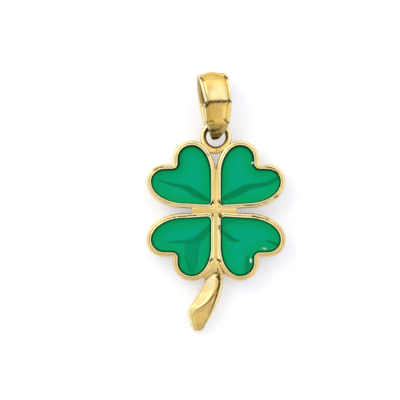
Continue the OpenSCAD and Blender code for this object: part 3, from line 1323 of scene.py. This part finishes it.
@dataclass
class Foot(Part):
    """The smooth gold between the two lower leaves, which carries the stem.

    Attributes:
        back: The height of its underside.
        pitted: The height over which its pits are pressed in.
        wear: How pale its wear makes it, all over.
        rows: Its level sections, from the top: pixel row, first pixel column, last one, height of its face
            at the left and in the middle.
        crown: The way across it: share of its width, share of the way to its middle's height, rise.
    """

    back: float = 0.12
    pitted: float = 1.0
    wear: float = 0.12
    rows: Table = (
        (244.0, 216.2, 218.0, 1.38, 1.40),
        (252.0, 215.4, 218.4, 1.46, 1.47),
        (257.0, 213.8, 219.0, 1.55, 1.53),
        (260.5, 211.2, 219.8, 1.63, 1.56),
        (265.0, 209.0, 221.2, 1.64, 1.55),
        (270.0, 205.8, 223.2, 1.62, 1.51),
        (274.0, 202.4, 224.6, 1.58, 1.42),
        (276.8, 201.4, 224.2, 1.50, 1.25),
        (278.6, 203.4, 223.4, 1.34, 1.05),
        (279.8, 205.6, 222.8, 1.10, 0.85),
    )
    crown: Table = (
        (0.00, 0.0, -0.15), (0.04, 0.0, 0.0), (0.14, 0.02, 0.01), (0.32, 0.35, 0.01), (0.52, 1.0, 0.01),
        (0.70, 1.0, 0.0), (0.86, 1.0, -0.03), (0.97, 1.0, -0.10), (1.00, 1.0, -0.25),
    )
    name = "gold_foot"
    sharp = 60.0

    def section(self, row: Sequence[float]) -> list[Vector]:
        """Works one section out.

        Args:
            row: A row of the table.

        Returns:
            Its points, from the lower left over the front.
        """
        y, first, last, side, middle = row
        left, right, back = at_pixel(first, y), at_pixel(last, y), Vector((0, 0, self.back))
        face = [
            left.lerp(right, share) + Vector((0, 0, side + (middle - side) * sink + rise))
            for share, sink, rise in self.crown
        ]
        return [left + back, *face, right + back]

    def model(self) -> bpy.types.Object:
        """Models the foot.

        Returns:
            The piece in millimetres.
        """
        piece = loft([self.section(row) for row in smooth_rows(self.rows, 3)], ring=False)
        soften(piece, 2)
        press_in(piece, CASTING_PITS_AND_CORNER_SHADE + ROOT_PITS_AND_SHADE, lowest=self.pitted)
        hand_waves(piece, height=0.015, size=0.8)
        return piece

    def tarnish_and_shade(self, place: Vector) -> float:
        """Gives how dark the dents, and the painted shade between foot and stem, are at a place."""
        return mark_darkness(place, CASTING_PITS_AND_CORNER_SHADE + ROOT_PITS_AND_SHADE)

    def wear_and_highlight(self, place: Vector) -> float:
        """Gives its slight wear."""
        return self.wear

    tones = {"tarnish_and_shade": tarnish_and_shade, "wear_and_highlight": wear_and_highlight}


@dataclass
class TopRing(Part):
    """The round ring between the two upper leaves.

    Attributes:
        centre: Its centre.
        radius: The radius of the wire's middle.
        wire: The wire's radius.
        bright: The radius of the painted highlight round its front.
        bright_fade: How far that highlight fades out to each side.
        shaded: The radius inside which it is in its own shade.
        inner: The radius inside which its lower half gets painted shade.
        further: How much further out that shade reaches in its upper half.
        fade: How far both painted shades fade out.
    """

    centre: Place = (0.0, 5.48, 1.3)
    radius: float = 0.945
    wire: float = 0.23
    bright: float = 1.04
    bright_fade: float = 0.11
    shaded: float = 0.87
    inner: float = 0.78
    further: float = 0.17
    fade: float = 0.08
    name = "gold_ring"

    def model(self) -> bpy.types.Object:
        """Models the ring.

        Returns:
            The piece in millimetres.
        """
        bench = Bench(
            bpy.ops.mesh.primitive_torus_add, location=self.centre,
            major_radius=self.radius, minor_radius=self.wire, major_segments=96, minor_segments=32,
        )
        piece = bench.leave()
        hand_waves(piece, height=0.015, size=0.5)
        return piece

    def way(self, place: Vector) -> Vector:
        """Gives the way from the ring's centre to a place, seen from above."""
        return (place - Vector(self.centre)).xy

    def tarnish_and_shade(self, place: Vector) -> float:
        """Gives the painted shade on the wire's inner side, which reaches further out in the upper half."""
        upper = max(0.0, min(1.0, 0.6 + 0.7 * self.way(place).y / self.radius))
        return 0.9 * falloff(self.way(place).length - self.inner - self.further * upper, self.fade)

    def wear_and_highlight(self, place: Vector) -> float:
        """Gives the painted highlight round its front."""
        return falloff(abs(self.way(place).length - self.bright), self.bright_fade)

    def dusk(self, place: Vector) -> float:
        """Gives the shade on the wire's inner side."""
        return falloff(self.way(place).length - self.shaded, self.fade)

    tones = {"tarnish_and_shade": tarnish_and_shade, "wear_and_highlight": wear_and_highlight, "dusk": dusk}


@dataclass
class Solder(Part):
    """The solder below the ring.

    Attributes:
        ring: The ring that it holds.
        radius: Its radius, before it is stretched.
        stretch: How much it is stretched each way.
        rise: How much higher than the ring's its middle lies.
        waves: How many waves its grain has in a millimetre.
        shade: How far it is in its own shade, all over.
    """

    ring: TopRing
    radius: float = 0.19
    stretch: Place = (2.6, 1.05, 1)
    rise: float = 0.09
    waves: float = 10
    shade: float = 0.55
    name = "gold_solder"

    def model(self) -> bpy.types.Object:
        """Models the solder.

        Returns:
            The piece in millimetres.
        """
        ring = self.ring
        middle = Vector((0, ring.centre[1] - ring.radius - 0.5 * ring.wire, ring.centre[2] + self.rise))
        bench = Bench(
            bpy.ops.mesh.primitive_uv_sphere_add, location=middle,
            segments=72, ring_count=48, radius=self.radius,
        )
        select_whole()
        bpy.ops.transform.resize(value=self.stretch, center_override=middle)
        piece = bench.leave()
        hand_waves(piece, height=0.10, size=0.10)
        return piece

    def grain(self, place: Vector) -> float:
        """Gives its coarse grain, from -1 to 1."""
        return noise.noise(place * self.waves)

    def tarnish_and_shade(self, place: Vector) -> float:
        """Gives the tarnish in the hollows of its grain."""
        return min(0.8, 2.2 * max(0.0, self.grain(place)))

    def wear_and_highlight(self, place: Vector) -> float:
        """Gives the painted highlights on the humps of its grain."""
        return max(0.0, min(0.6, 0.1 - 1.5 * self.grain(place)))

    def dusk(self, place: Vector) -> float:
        """Gives its shade."""
        return self.shade

    tones = {"tarnish_and_shade": tarnish_and_shade, "wear_and_highlight": wear_and_highlight, "dusk": dusk}


# dark lines along the stem's groove, and one soft band beside it that is painted shade
STEM_LINES = dark_marks(
    (219, 278, 219.8, 282, 0.07),
    (219.8, 282, 217.6, 290, 0.09, 0.0, 1.2),
    (217.6, 290, 214.2, 302, 0.085, 0.0, 1.2),
    (214.2, 302, 210.6, 312, 0.09, 0.0, 1.1),
    # a soft band of painted shade left of the groove
    (213.2, 304, 208.6, 314, 0.20, 0.0, 0.35),
    (210.6, 312, 206.6, 320, 0.08, 0.0, 0.9),
    (206.6, 320, 202.2, 328, 0.08, 0.0, 0.9),
)


@dataclass
class Stem(Part):
    """The curved leaf stem, with a crease across it, a bead along its left edge and a groove on its right.

    Attributes:
        length: Its length.
        width: Its widest width.
        reach: How far its tip lies to the left.
        thick: Its thickness at the crease.
        bead: The width of the bead along its left edge.
        low: The height at which its sides are widest.
        top: Where its root starts, along Y.
        pitted: The height over which its pits are pressed in.
        glint_px: The pixel in the middle of the painted highlight on its root.
        glint_reach: How far from there it fades out.
        shade_px: The pixel in the middle of the faint painted shade on its left side.
        shade_reach: How far from there that shade fades out.
        rows: Its level sections, from the root: down in shares of the length, middle in shares of the reach,
            width in shares of the width, place of the crease across it, then the heights of the left edge,
            the crease and the panel to its right, in shares of the thickness.
    """

    length: float = 4.25
    width: float = 1.94
    reach: float = 1.37
    thick: float = 1.5
    bead: float = 0.13
    low: float = 0.42
    top: float = -4.75
    pitted: float = 0.6
    glint_px: Pair = (210, 281)
    glint_reach: float = 0.7
    shade_px: Pair = (198, 302)
    shade_reach: float = 0.9
    rows: Table = (
        (0.000, 0.00, 0.26, 0.62, 0.99, 1.06, 0.95),
        (0.030, 0.01, 0.44, 0.64, 0.96, 1.08, 0.94),
        (0.090, 0.10, 0.68, 0.68, 0.86, 1.08, 0.88),
        (0.183, 0.152, 0.766, 0.70, 0.74, 1.05, 0.82),
        (0.278, 0.252, 0.826, 0.67, 0.66, 1.02, 0.77),
        (0.370, 0.362, 0.896, 0.62, 0.62, 1.00, 0.74),
        (0.489, 0.552, 0.966, 0.54, 0.64, 0.98, 0.72),
        (0.580, 0.722, 1.036, 0.41, 0.68, 0.90, 0.70),
        (0.630, 0.792, 1.016, 0.33, 0.69, 0.82, 0.69),
        (0.672, 0.832, 0.966, 0.26, 0.70, 0.75, 0.68),
        (0.762, 0.882, 0.846, 0.20, 0.69, 0.70, 0.66),
        (0.875, 0.942, 0.616, 0.20, 0.66, 0.66, 0.62),
        (0.945, 0.961, 0.463, 0.24, 0.58, 0.58, 0.55),
        (0.985, 0.971, 0.353, 0.30, 0.50, 0.50, 0.48),
        (1.000, 0.98, 0.22, 0.30, 0.42, 0.42, 0.40),
    )
    name = "gold_stem"
    sharp = 60.0

    def __post_init__(self) -> None:
        """Works its sections out, and where its beads and grooves run."""
        self.sections = [self.section(row) for row in smooth_rows(self.rows, 4)]
        lines = list(zip(*self.sections))
        left_bead, left_groove, right_groove, right_bead = lines[6], lines[7], lines[17], lines[19]
        half = len(self.sections) // 2
        self.beads = nearness([left_bead[half:], right_bead], reach=0.12)
        self.grooves = nearness([left_groove[half + 4:], right_groove[half:]], reach=0.05)

    def section(self, row: Sequence[float]) -> list[Vector]:
        """Works one section out.

        Args:
            row: A row of the table.

        Returns:
            Its points, from the lower left over the front.
        """
        down, shift, breadth, crease_at, *heights = row
        left, crease, panel = (height * self.thick for height in heights)
        w = breadth * self.width
        x0 = -shift * self.reach - w / 2
        y = self.top - down * self.length
        tuck = 0.06 * w
        bead = min(self.bead, 0.16 * w)
        cut = 0.09 * breadth
        left_cut = cut * falloff(0.66 - down, 0.14)
        groove = 0.79 + 0.035 * (1 - falloff(down - 0.3, 0.4))
        crease_x = max(crease_at * w, 2.6 * bead)
        low = self.low
        points = (
            (w - tuck, 0),
            (tuck, 0),
            (0.3 * tuck, 0.3 * low),
            (0, low),
            (0, 0.8 * left),
            (0.25 * bead, left),
            (bead, left + 0.1 * (crease - left)),
            (1.35 * bead, left + 0.14 * (crease - left) - left_cut),
            (1.8 * bead, left + 0.2 * (crease - left) - 0.8 * left_cut),
            (0.5 * (1.8 * bead + crease_x), left + 0.6 * (crease - left)),
            (crease_x - 0.05 * w, crease - 0.06 * (crease - left)),
            (crease_x, crease - 0.2 * cut),
            (crease_x + 0.035 * w, 0.6 * crease + 0.4 * panel - 0.6 * cut),
            (crease_x + 0.08 * w, 0.25 * crease + 0.75 * panel),
            (0.5 * (crease_x + (groove - 0.04) * w) + 0.03 * w, panel - 0.1 * cut),
            ((groove - 0.04) * w, panel),
            (groove * w, panel - cut),
            ((groove + 0.035) * w, panel - cut),
            ((groove + 0.065) * w, panel + 0.3 * cut),
            ((groove + 0.13) * w, panel + 0.3 * cut),
            (w - 0.3 * tuck, 0.88 * panel),
            (w, low),
            (w - 0.3 * tuck, 0.3 * low),
        )
        return [Vector((x0 + x, y, z)) for x, z in points]

    def model(self) -> bpy.types.Object:
        """Models the stem.

        Returns:
            The piece in millimetres.
        """
        piece = loft(self.sections, ring=False)
        soften(piece, 1)
        press_in(piece, ROOT_PITS_AND_SHADE, lowest=self.pitted)
        hand_waves(piece, height=0.015, size=0.8)
        return piece

    def wear_and_highlight(self, place: Vector) -> float:
        """Gives the painted highlights along the beads and on the root."""
        edge = self.beads(place) if place.z > 0.5 * self.low else 0.0
        return max(edge, 0.3 * near_pixel(place, self.glint_px, self.glint_reach))

    def tarnish_and_shade(self, place: Vector) -> float:
        """Gives how dark a place on the stem is.

        Args:
            place: The place.

        Returns:
            The tarnish in the grooves and the marks, with painted shade in a faint patch on its left side
            and in a soft band left of the groove.
        """
        marks = min(1.0, mark_darkness(place, ROOT_PITS_AND_SHADE + STEM_LINES))
        # faint painted shade on the stem's left side
        faint = 0.12 * near_pixel(place, self.shade_px, self.shade_reach)
        return max(0.45 * self.grooves(place), faint, marks)

    tones = {"tarnish_and_shade": tarnish_and_shade, "wear_and_highlight": wear_and_highlight}


# dark marks on the bail's front, only painted, with rows of painted shade among them
BAIL_MARKS_AND_SHADE = dark_marks(
    (209.6, 102.6, 216, 102.1, 0.22, 0.08, 1.4),
    (216, 102.1, 225.6, 101.8, 0.20, 0.08, 1.4),
    (205.4, 103.8, 206.4, 106.8, 0.18, 0.08, 1.4),
    (206.6, 106.8, 209.6, 102.8, 0.18, 0.08, 1.4),
    (228.4, 100.8, 231.6, 102.6, 0.14, 0.08, 1.2),
    (200.6, 105.2, 203.4, 105.8, 0.13, 0.08, 1.2),
    (200.2, 78.4, 203.8, 81, 0.13, 0.08, 1.1),
    (203.4, 81.4, 206.6, 99, 0.06, 0.0, 0.5),
    (206.4, 108, 207.6, 122, 0.07, 0.0, 0.5),
    # painted shade along the left of the lower panel
    (208.2, 109, 209.4, 121, 0.22, 0.0, 0.3),
    (224.4, 77, 227.6, 79.2, 0.13, 0.08, 1.1),
    # painted shade line where the cap turns into the upper panel
    (205, 79.8, 222, 79.2, 0.05, 0.0, 0.35),
    (207.4, 122.8, 210.6, 121.2, 0.12, 0.08, 0.9),
    (211.4, 120.8, 213.8, 122.2, 0.11, 0.08, 0.9),
    (224.2, 119.6, 227.4, 123, 0.13, 0.08, 1.0),
    (209.4, 128.4, 221, 127.6, 0.12, 0.0, 0.4),
    (210.6, 133.6, 220, 132.6, 0.12, 0.0, 0.5),
    (208.6, 131.6, 214, 130.8, 0.24, 0.08, 1.3),
    (214, 130.8, 219.6, 129.6, 0.15),
    (208, 126, 213, 125, 0.14, 0.04, 0.6),
    (215, 124.8, 222, 126.6, 0.14, 0.03, 0.5),
    (210.2, 135.2, 221.4, 134.8, 0.22),
    (212, 138.2, 219, 138, 0.26),
)


@dataclass
class Bail(Part):
    """The creased loop that hangs the pendant, with a raised rib along each edge.

    Attributes:
        length: Its length.
        width: Its widest width.
        depth: Its depth at the crease.
        wall: Its wall's thickness.
        rib_w: The width of its ribs.
        rib_h: The height of its ribs.
        crown: The height of its wall's crown.
        dome: How much lower its edges lie than its middle at its top.
        upturn: How much of that its right edge has.
        tuck: How far its back's lower end lies to the right, behind its front.
        flap: How far its front reaches further to the left below the crease, in shares of half of its width.
        lean: How far its top leans to the left.
        skew: How much higher its front lies than its back.
        hook: Its pivot, where it hangs on the ring's wire, above its lower end.
        foot: The height along Y of its lower end.
        lift: The height of its pivot over the floor.
        pitch: The angle by which its top dips, in degrees.
        roll: The angle by which it is rolled to one side, in degrees.
        cap_px: The pixel row over which its cap starts.
        brow_px: The pixel row from which its upper panel brightens downwards.
        crease_px: The pixel row of its crease.
        hollow_px: The pixel row over which its hollow is darkened and its ribs carry their strongest painted
            highlight.
        tab_px: The pixel row of its tab's upper edge.
        glint_px: The pixel in the middle of the upper panel, where it is pale.
        glint_reach: How far from there the pale tone fades out.
        rows: Half of its side view, from its top over the front to its lower end: down in shares of the
            length, out in shares of half of the depth, width, lean and rib in shares of their own sizes.
    """

    length: float = 4.95
    width: float = 2.24
    depth: float = 2.04
    wall: float = 0.26
    rib_w: float = 0.18
    rib_h: float = 0.09
    crown: float = 0.12
    dome: float = 0.2
    upturn: float = 0.45
    tuck: float = 0.4
    flap: float = 0.28
    lean: float = 0.3
    skew: float = 0.23
    hook: float = 1.18
    foot: float = 5.245
    lift: float = 1.3
    pitch: float = 0.41
    roll: float = 12
    cap_px: float = 80
    brow_px: float = 82
    crease_px: float = 102
    hollow_px: float = 106
    tab_px: float = 117
    glint_px: Pair = (214, 96)
    glint_reach: float = 0.9
    rows: Table = (
        (0.000, 0.000, 1.00, 1.00, 1),
        (0.012, 0.200, 1.00, 0.98, 1),
        (0.036, 0.340, 1.00, 0.95, 1),
        (0.070, 0.440, 1.00, 0.90, 1),
        (0.105, 0.530, 0.99, 0.83, 1),
        (0.200, 0.740, 0.97, 0.62, 1),
        (0.320, 0.910, 0.94, 0.36, 1),
        (0.425, 0.990, 0.905, 0.12, 1),
        (0.442, 0.985, 0.90, 0.10, 1),
        (0.455, 0.930, 0.90, 0.08, 1),
        (0.468, 0.975, 0.90, 0.07, 1),
        (0.485, 0.970, 0.89, 0.05, 1),
        (0.580, 0.870, 0.86, -0.10, 1),
        (0.700, 0.760, 0.80, -0.15, 1),
        (0.735, 0.735, 0.78, -0.15, 1),
        (0.765, 0.715, 0.75, -0.15, 0),
        (0.860, 0.700, 0.61, 0.05, 0),
        (0.915, 0.620, 0.47, 0.25, 0),
        (0.955, 0.490, 0.37, 0.35, 0),
        (0.986, 0.280, 0.25, 0.40, 0),
        (1.000, 0.000, 0.12, 0.40, 0),
    )
    name = "gold_bail"
    node = "bail"
    sharp = 60.0

    def __post_init__(self) -> None:
        """Works its sections out, and where its ribs, grooves and hollow run."""
        self.sections = self.placed()
        lines = list(zip(*self.sections, self.sections[0]))
        self.ribs = nearness([*lines[1:4], *lines[19:22]], reach=0.1)
        self.grooves = nearness([lines[5], lines[17]], reach=0.065)
        self.inside = nearness(lines[22:27], reach=0.5)

    def loop(self) -> list[list[float]]:
        """Lists the rows round the whole loop, each with its side, 1 in front and -1 behind."""
        half = smooth_rows(self.rows, 3)
        return [row + [1] for row in half] + [row + [-1] for row in reversed(half[1:-1])]

    def spot(self, row: Sequence[float]) -> Vector:
        """Gives a row's place in the side view, as along and out from the pivot."""
        out = row[5] * row[1]
        return Vector(((1 - row[0]) * self.length - self.hook + out * self.skew / 2, out * self.depth / 2))

    def section(self, row: Sequence[float], spot: Vector, normal: Vector) -> list[Vector]:
        """Works one section of the wall out.

        Args:
            row: A row of the loop.
            spot: Its place in the side view.
            normal: The way out there.

        Returns:
            Its points, over the outer face and back along the inner one.
        """
        down, out, breadth, lean, ribbed, side = row
        rib = ribbed * self.rib_h
        crown = breadth * self.crown * (0.4 + 0.6 * falloff(down - 0.43, 0.08))
        dome = self.dome * falloff(down, 0.13)
        domes = (dome, self.upturn * dome)
        behind = falloff(1 - down, 0.25) if side < 0 else 0.0
        half = breadth * self.width / 2 * (1 - 0.4 * behind)
        below = max(0.0, falloff(down - 0.73, 0.12) - falloff(down - 0.46, 0.06)) if side > 0 else 0.0
        u = 2 * self.rib_w / self.width
        left_end = 1 + self.flap * below
        left = self.edge(left_end, u * (1 + below), rib, crown)
        right = self.edge(1.0, u * (1 + 0.8 * below), rib, crown)
        profile = [(-x, z) for x, z in left] + [(0, 1.05 * crown)] + [(x, z) for x, z in reversed(right)]
        profile += [(1, -0.85 * self.wall), (0.9, -self.wall), (0, -self.wall)]
        profile += [(0.1 - left_end, -self.wall), (-left_end, -0.85 * self.wall)]
        points = []
        for x, z in profile:
            rise = z - domes[x > 0] * x * x
            across = x * half - lean * self.lean + self.tuck * out * behind
            points.append(Vector((across, spot.x + normal.x * rise, spot.y + normal.y * rise)))
        return points

    def edge(self, end: float, u: float, rib: float, crown: float) -> list[Pair]:
        """Works one side of the wall's outer face out.

        Args:
            end: Where it ends, in shares of half of the width.
            u: The width of its rib, in the same shares.
            rib: The height of its rib.
            crown: The height of the crown.

        Returns:
            Its points from the edge to beside the middle, as shares across and heights.
        """
        return [
            (end, -0.25 * self.wall),
            (end, 0.4 * rib),
            (end - 0.15 * u, 0.95 * rib),
            (end - 0.6 * u, rib),
            (end - 0.9 * u, 0.5 * rib),
            (end - 1.05 * u, -0.6 * rib),
            (end - 1.35 * u, -0.6 * rib),
            *((x * (end - 1.6 * u), crown * (1.05 - x * x)) for x in (1.0, 0.85, 0.6, 0.3)),
        ]

    def placed(self) -> list[list[Vector]]:
        """Works all the sections out.

        Returns:
            Their points, in their places on the pendant.
        """
        rows = self.loop()
        spots = [self.spot(row) for row in rows]
        turn = Euler((math.radians(self.pitch), math.radians(self.roll), 0)).to_matrix()
        pivot = Vector((0, self.foot + self.hook, self.lift))
        sections = []
        for i, row in enumerate(rows):
            before = (spots[i] - spots[i - 1]).normalized()
            after = (spots[(i + 1) % len(spots)] - spots[i]).normalized()
            along = (before + after).normalized()
            points = self.section(row, spots[i], Vector((along.y, -along.x)))
            sections.append([turn @ point + pivot for point in points])
        return sections

    def model(self) -> bpy.types.Object:
        """Models the bail.

        Returns:
            The piece in millimetres.
        """
        piece = loft(self.sections, ring=True)
        soften(piece, 1)
        hand_waves(piece, height=0.008, size=0.7)
        return piece

    def wear_and_highlight(self, place: Vector) -> float:
        """Gives the painted highlights on the ribs and the upper panel, and a painted paler tone inside the
        hollow.
        """
        return max(self.shine(place) * self.ribs(place), self.glint(place), 0.3 * self.inside(place))

    def tarnish_and_shade(self, place: Vector) -> float:
        """Gives how dark the grooves, the marks and the hollow's upper half are."""
        hollow = 0.3 * self.inside(place) if place.y > self.hollow_y else 0.0
        return max(0.7 * self.grooves(place), self.marks(place), hollow)

    @property
    def hollow_y(self) -> float:
        """Gives the height along Y over which its hollow is darkened and its ribs carry their strongest
        painted highlight.
        """
        return at_pixel(0, self.hollow_px).y

    def under(self, place: Vector, row: float, reach: float) -> float:
        """Gives a weight that is 1 over a pixel row and fades out downwards."""
        return falloff(at_pixel(0, row).y - place.y, reach)

    def dusk(self, place: Vector) -> float:
        """Gives how far a place on the bail's front is in its own shade.

        Args:
            place: The place.

        Returns:
            The shade on its cap and brow, on its lower half and on its tab.
        """
        if place.z < self.lift:
            return 0.0
        cap = 0.5 * (1 - falloff(place.y - at_pixel(0, self.cap_px).y, 0.08))
        brow = 0.3 * self.under(place, self.brow_px, 0.6)
        lower = 0.36 * (1 - self.under(place, self.crease_px, 0.05))
        tab = 1 - self.under(place, self.tab_px, 0.75)
        return max(cap, brow, lower, tab)

    def shine(self, place: Vector) -> float:
        """Gives how strong the painted highlight on the ribs is: less below the crease, and least on its
        right.
        """
        below = place.y <= self.hollow_y and place.z >= self.lift
        return (0.45 if place.x > 0 else 0.75) if below else 1.0

    def glint(self, place: Vector) -> float:
        """Gives the pale middle of the panel over the crease."""
        above = place.z >= self.lift and place.y >= self.hollow_y
        return 0.4 * near_pixel(place, self.glint_px, self.glint_reach) if above else 0.0

    def marks(self, place: Vector) -> float:
        """Gives how dark a place on the bail's front is."""
        return min(1.0, mark_darkness(place, BAIL_MARKS_AND_SHADE)) if place.z >= self.lift else 0.0

    tones = {"tarnish_and_shade": tarnish_and_shade, "wear_and_highlight": wear_and_highlight, "dusk": dusk}


@dataclass(frozen=True)
class Softbox:
    """A square soft light that faces the pendant.

    Attributes:
        name: Its name.
        place: Where it hangs, in metres.
        size: The length of its sides, in metres.
        radiance: How bright its face is, in red, green and blue.
    """

    name: str
    place: Place
    size: float
    radiance: Place

    def hang(self) -> None:
        """Adds the light to the scene."""
        lamp = bpy.data.lights.new(self.name, "AREA")
        lamp.size = self.size
        lamp.color = [tone / max(self.radiance) for tone in self.radiance]
        lamp.energy = max(self.radiance) * math.pi * self.size**2
        light = bpy.data.objects.new(self.name, lamp)
        light.location = self.place
        light.rotation_euler = (-Vector(self.place)).to_track_quat("-Z", "Y").to_euler()
        bpy.context.scene.collection.objects.link(light)


@dataclass
class Studio:
    """A white sweep under soft light, seen from straight above. Its sizes are in metres.

    Attributes:
        distance: The camera's height over the floor.
        sensor: The width of the camera's sensor, in millimetres.
        sweep: The length of the floor's sides.
        world: The light from all round, in red, green and blue.
        softboxes: Its single lights.
        ring: The lights round the pendant: the angle of each in degrees, and how strong it is.
        ring_radius: How far out they hang.
        ring_height: How high they hang.
        ring_size: The length of their sides.
        ring_tone: How bright a light of full strength is, in red, green and blue.
    """

    distance: float = 0.45
    sensor: float = 36.0
    sweep: float = 3.0
    world: Place = (0.62, 0.61, 0.56)
    softboxes: tuple[Softbox, ...] = (
        Softbox("ceiling", (0.0, 0.40, 1.0), 2.0, (0.26, 0.26, 0.24)),
        Softbox("top_box", (0.22, 0.20, 0.74), 0.42, (0.34, 0.42, 0.66)),
        Softbox("key", (-0.42, 0.40, 0.55), 0.40, (2.7, 2.6, 2.2)),
    )
    ring: Table = ((90, 0.5), (140, 1.0), (185, 0.9), (40, 0.9), (-8, 0.8), (235, 0.3), (305, 0.3))
    ring_radius: float = 0.69
    ring_height: float = 0.40
    ring_size: float = 0.62
    ring_tone: Place = (0.45, 0.62, 1.05)

    def build(self) -> None:
        """Adds the floor, the lights and the camera."""
        self.lay_floor()
        self.light_round()
        for softbox in self.softboxes:
            softbox.hang()
        for azimuth, strength in self.ring:
            turn = math.radians(azimuth)
            place = (self.ring_radius * math.cos(turn), self.ring_radius * math.sin(turn), self.ring_height)
            radiance = tuple(tone * strength for tone in self.ring_tone)
            Softbox(f"ring_{azimuth}", place, self.ring_size, radiance).hang()
        self.add_camera()
        bpy.context.scene.view_settings.view_transform = "Standard"

    def lay_floor(self) -> None:
        """Lays the floor just below the height that the pendant rests on."""
        bpy.ops.object.select_all(action="DESELECT")
        bpy.ops.mesh.primitive_plane_add(size=self.sweep, location=(0, 0, -HAIR))
        floor = bpy.context.object
        floor.name = "floor"
        floor.data.materials.append(FloorFinish().make("white_sweep"))

    def light_round(self) -> None:
        """Lights the world evenly."""
        world = bpy.data.worlds.new("studio")
        bpy.context.scene.world = world
        world.use_nodes = True
        background = world.node_tree.nodes["Background"].inputs
        background["Color"].default_value = (*self.world, 1)
        background["Strength"].default_value = 1.0

    def add_camera(self) -> None:
        """Adds the camera over the middle of the photograph's frame."""
        lens = bpy.data.cameras.new("camera")
        lens.sensor_width = self.sensor
        lens.lens = self.sensor * self.distance / (FRAME_PX / PX_PER_MM * MM)
        lens.clip_start = 0.01
        camera = bpy.data.objects.new("camera", lens)
        middle = at_pixel(FRAME_PX / 2, FRAME_PX / 2) * MM
        camera.location = (middle.x, middle.y, self.distance)
        bpy.context.scene.collection.objects.link(camera)
        bpy.context.scene.camera = camera


def main() -> None:
    """Builds the studio and every piece of the pendant in order."""
    logging.basicConfig(level=logging.INFO, format="%(name)s %(message)s")
    Studio().build()
    gold = GoldFinish().make("gold")
    enamel = EnamelFinish().make("enamel")
    heart = Heart()
    for quarter in Quarter:
        GoldLeaf(quarter, heart).build(gold)
        EnamelLeaf(quarter, heart).build(enamel)
    ring = TopRing()
    for part in (Web(), Foot(), ring, Solder(ring), Stem(), Bail()):
        part.build(gold)


if __name__ == "__main__":
    main()
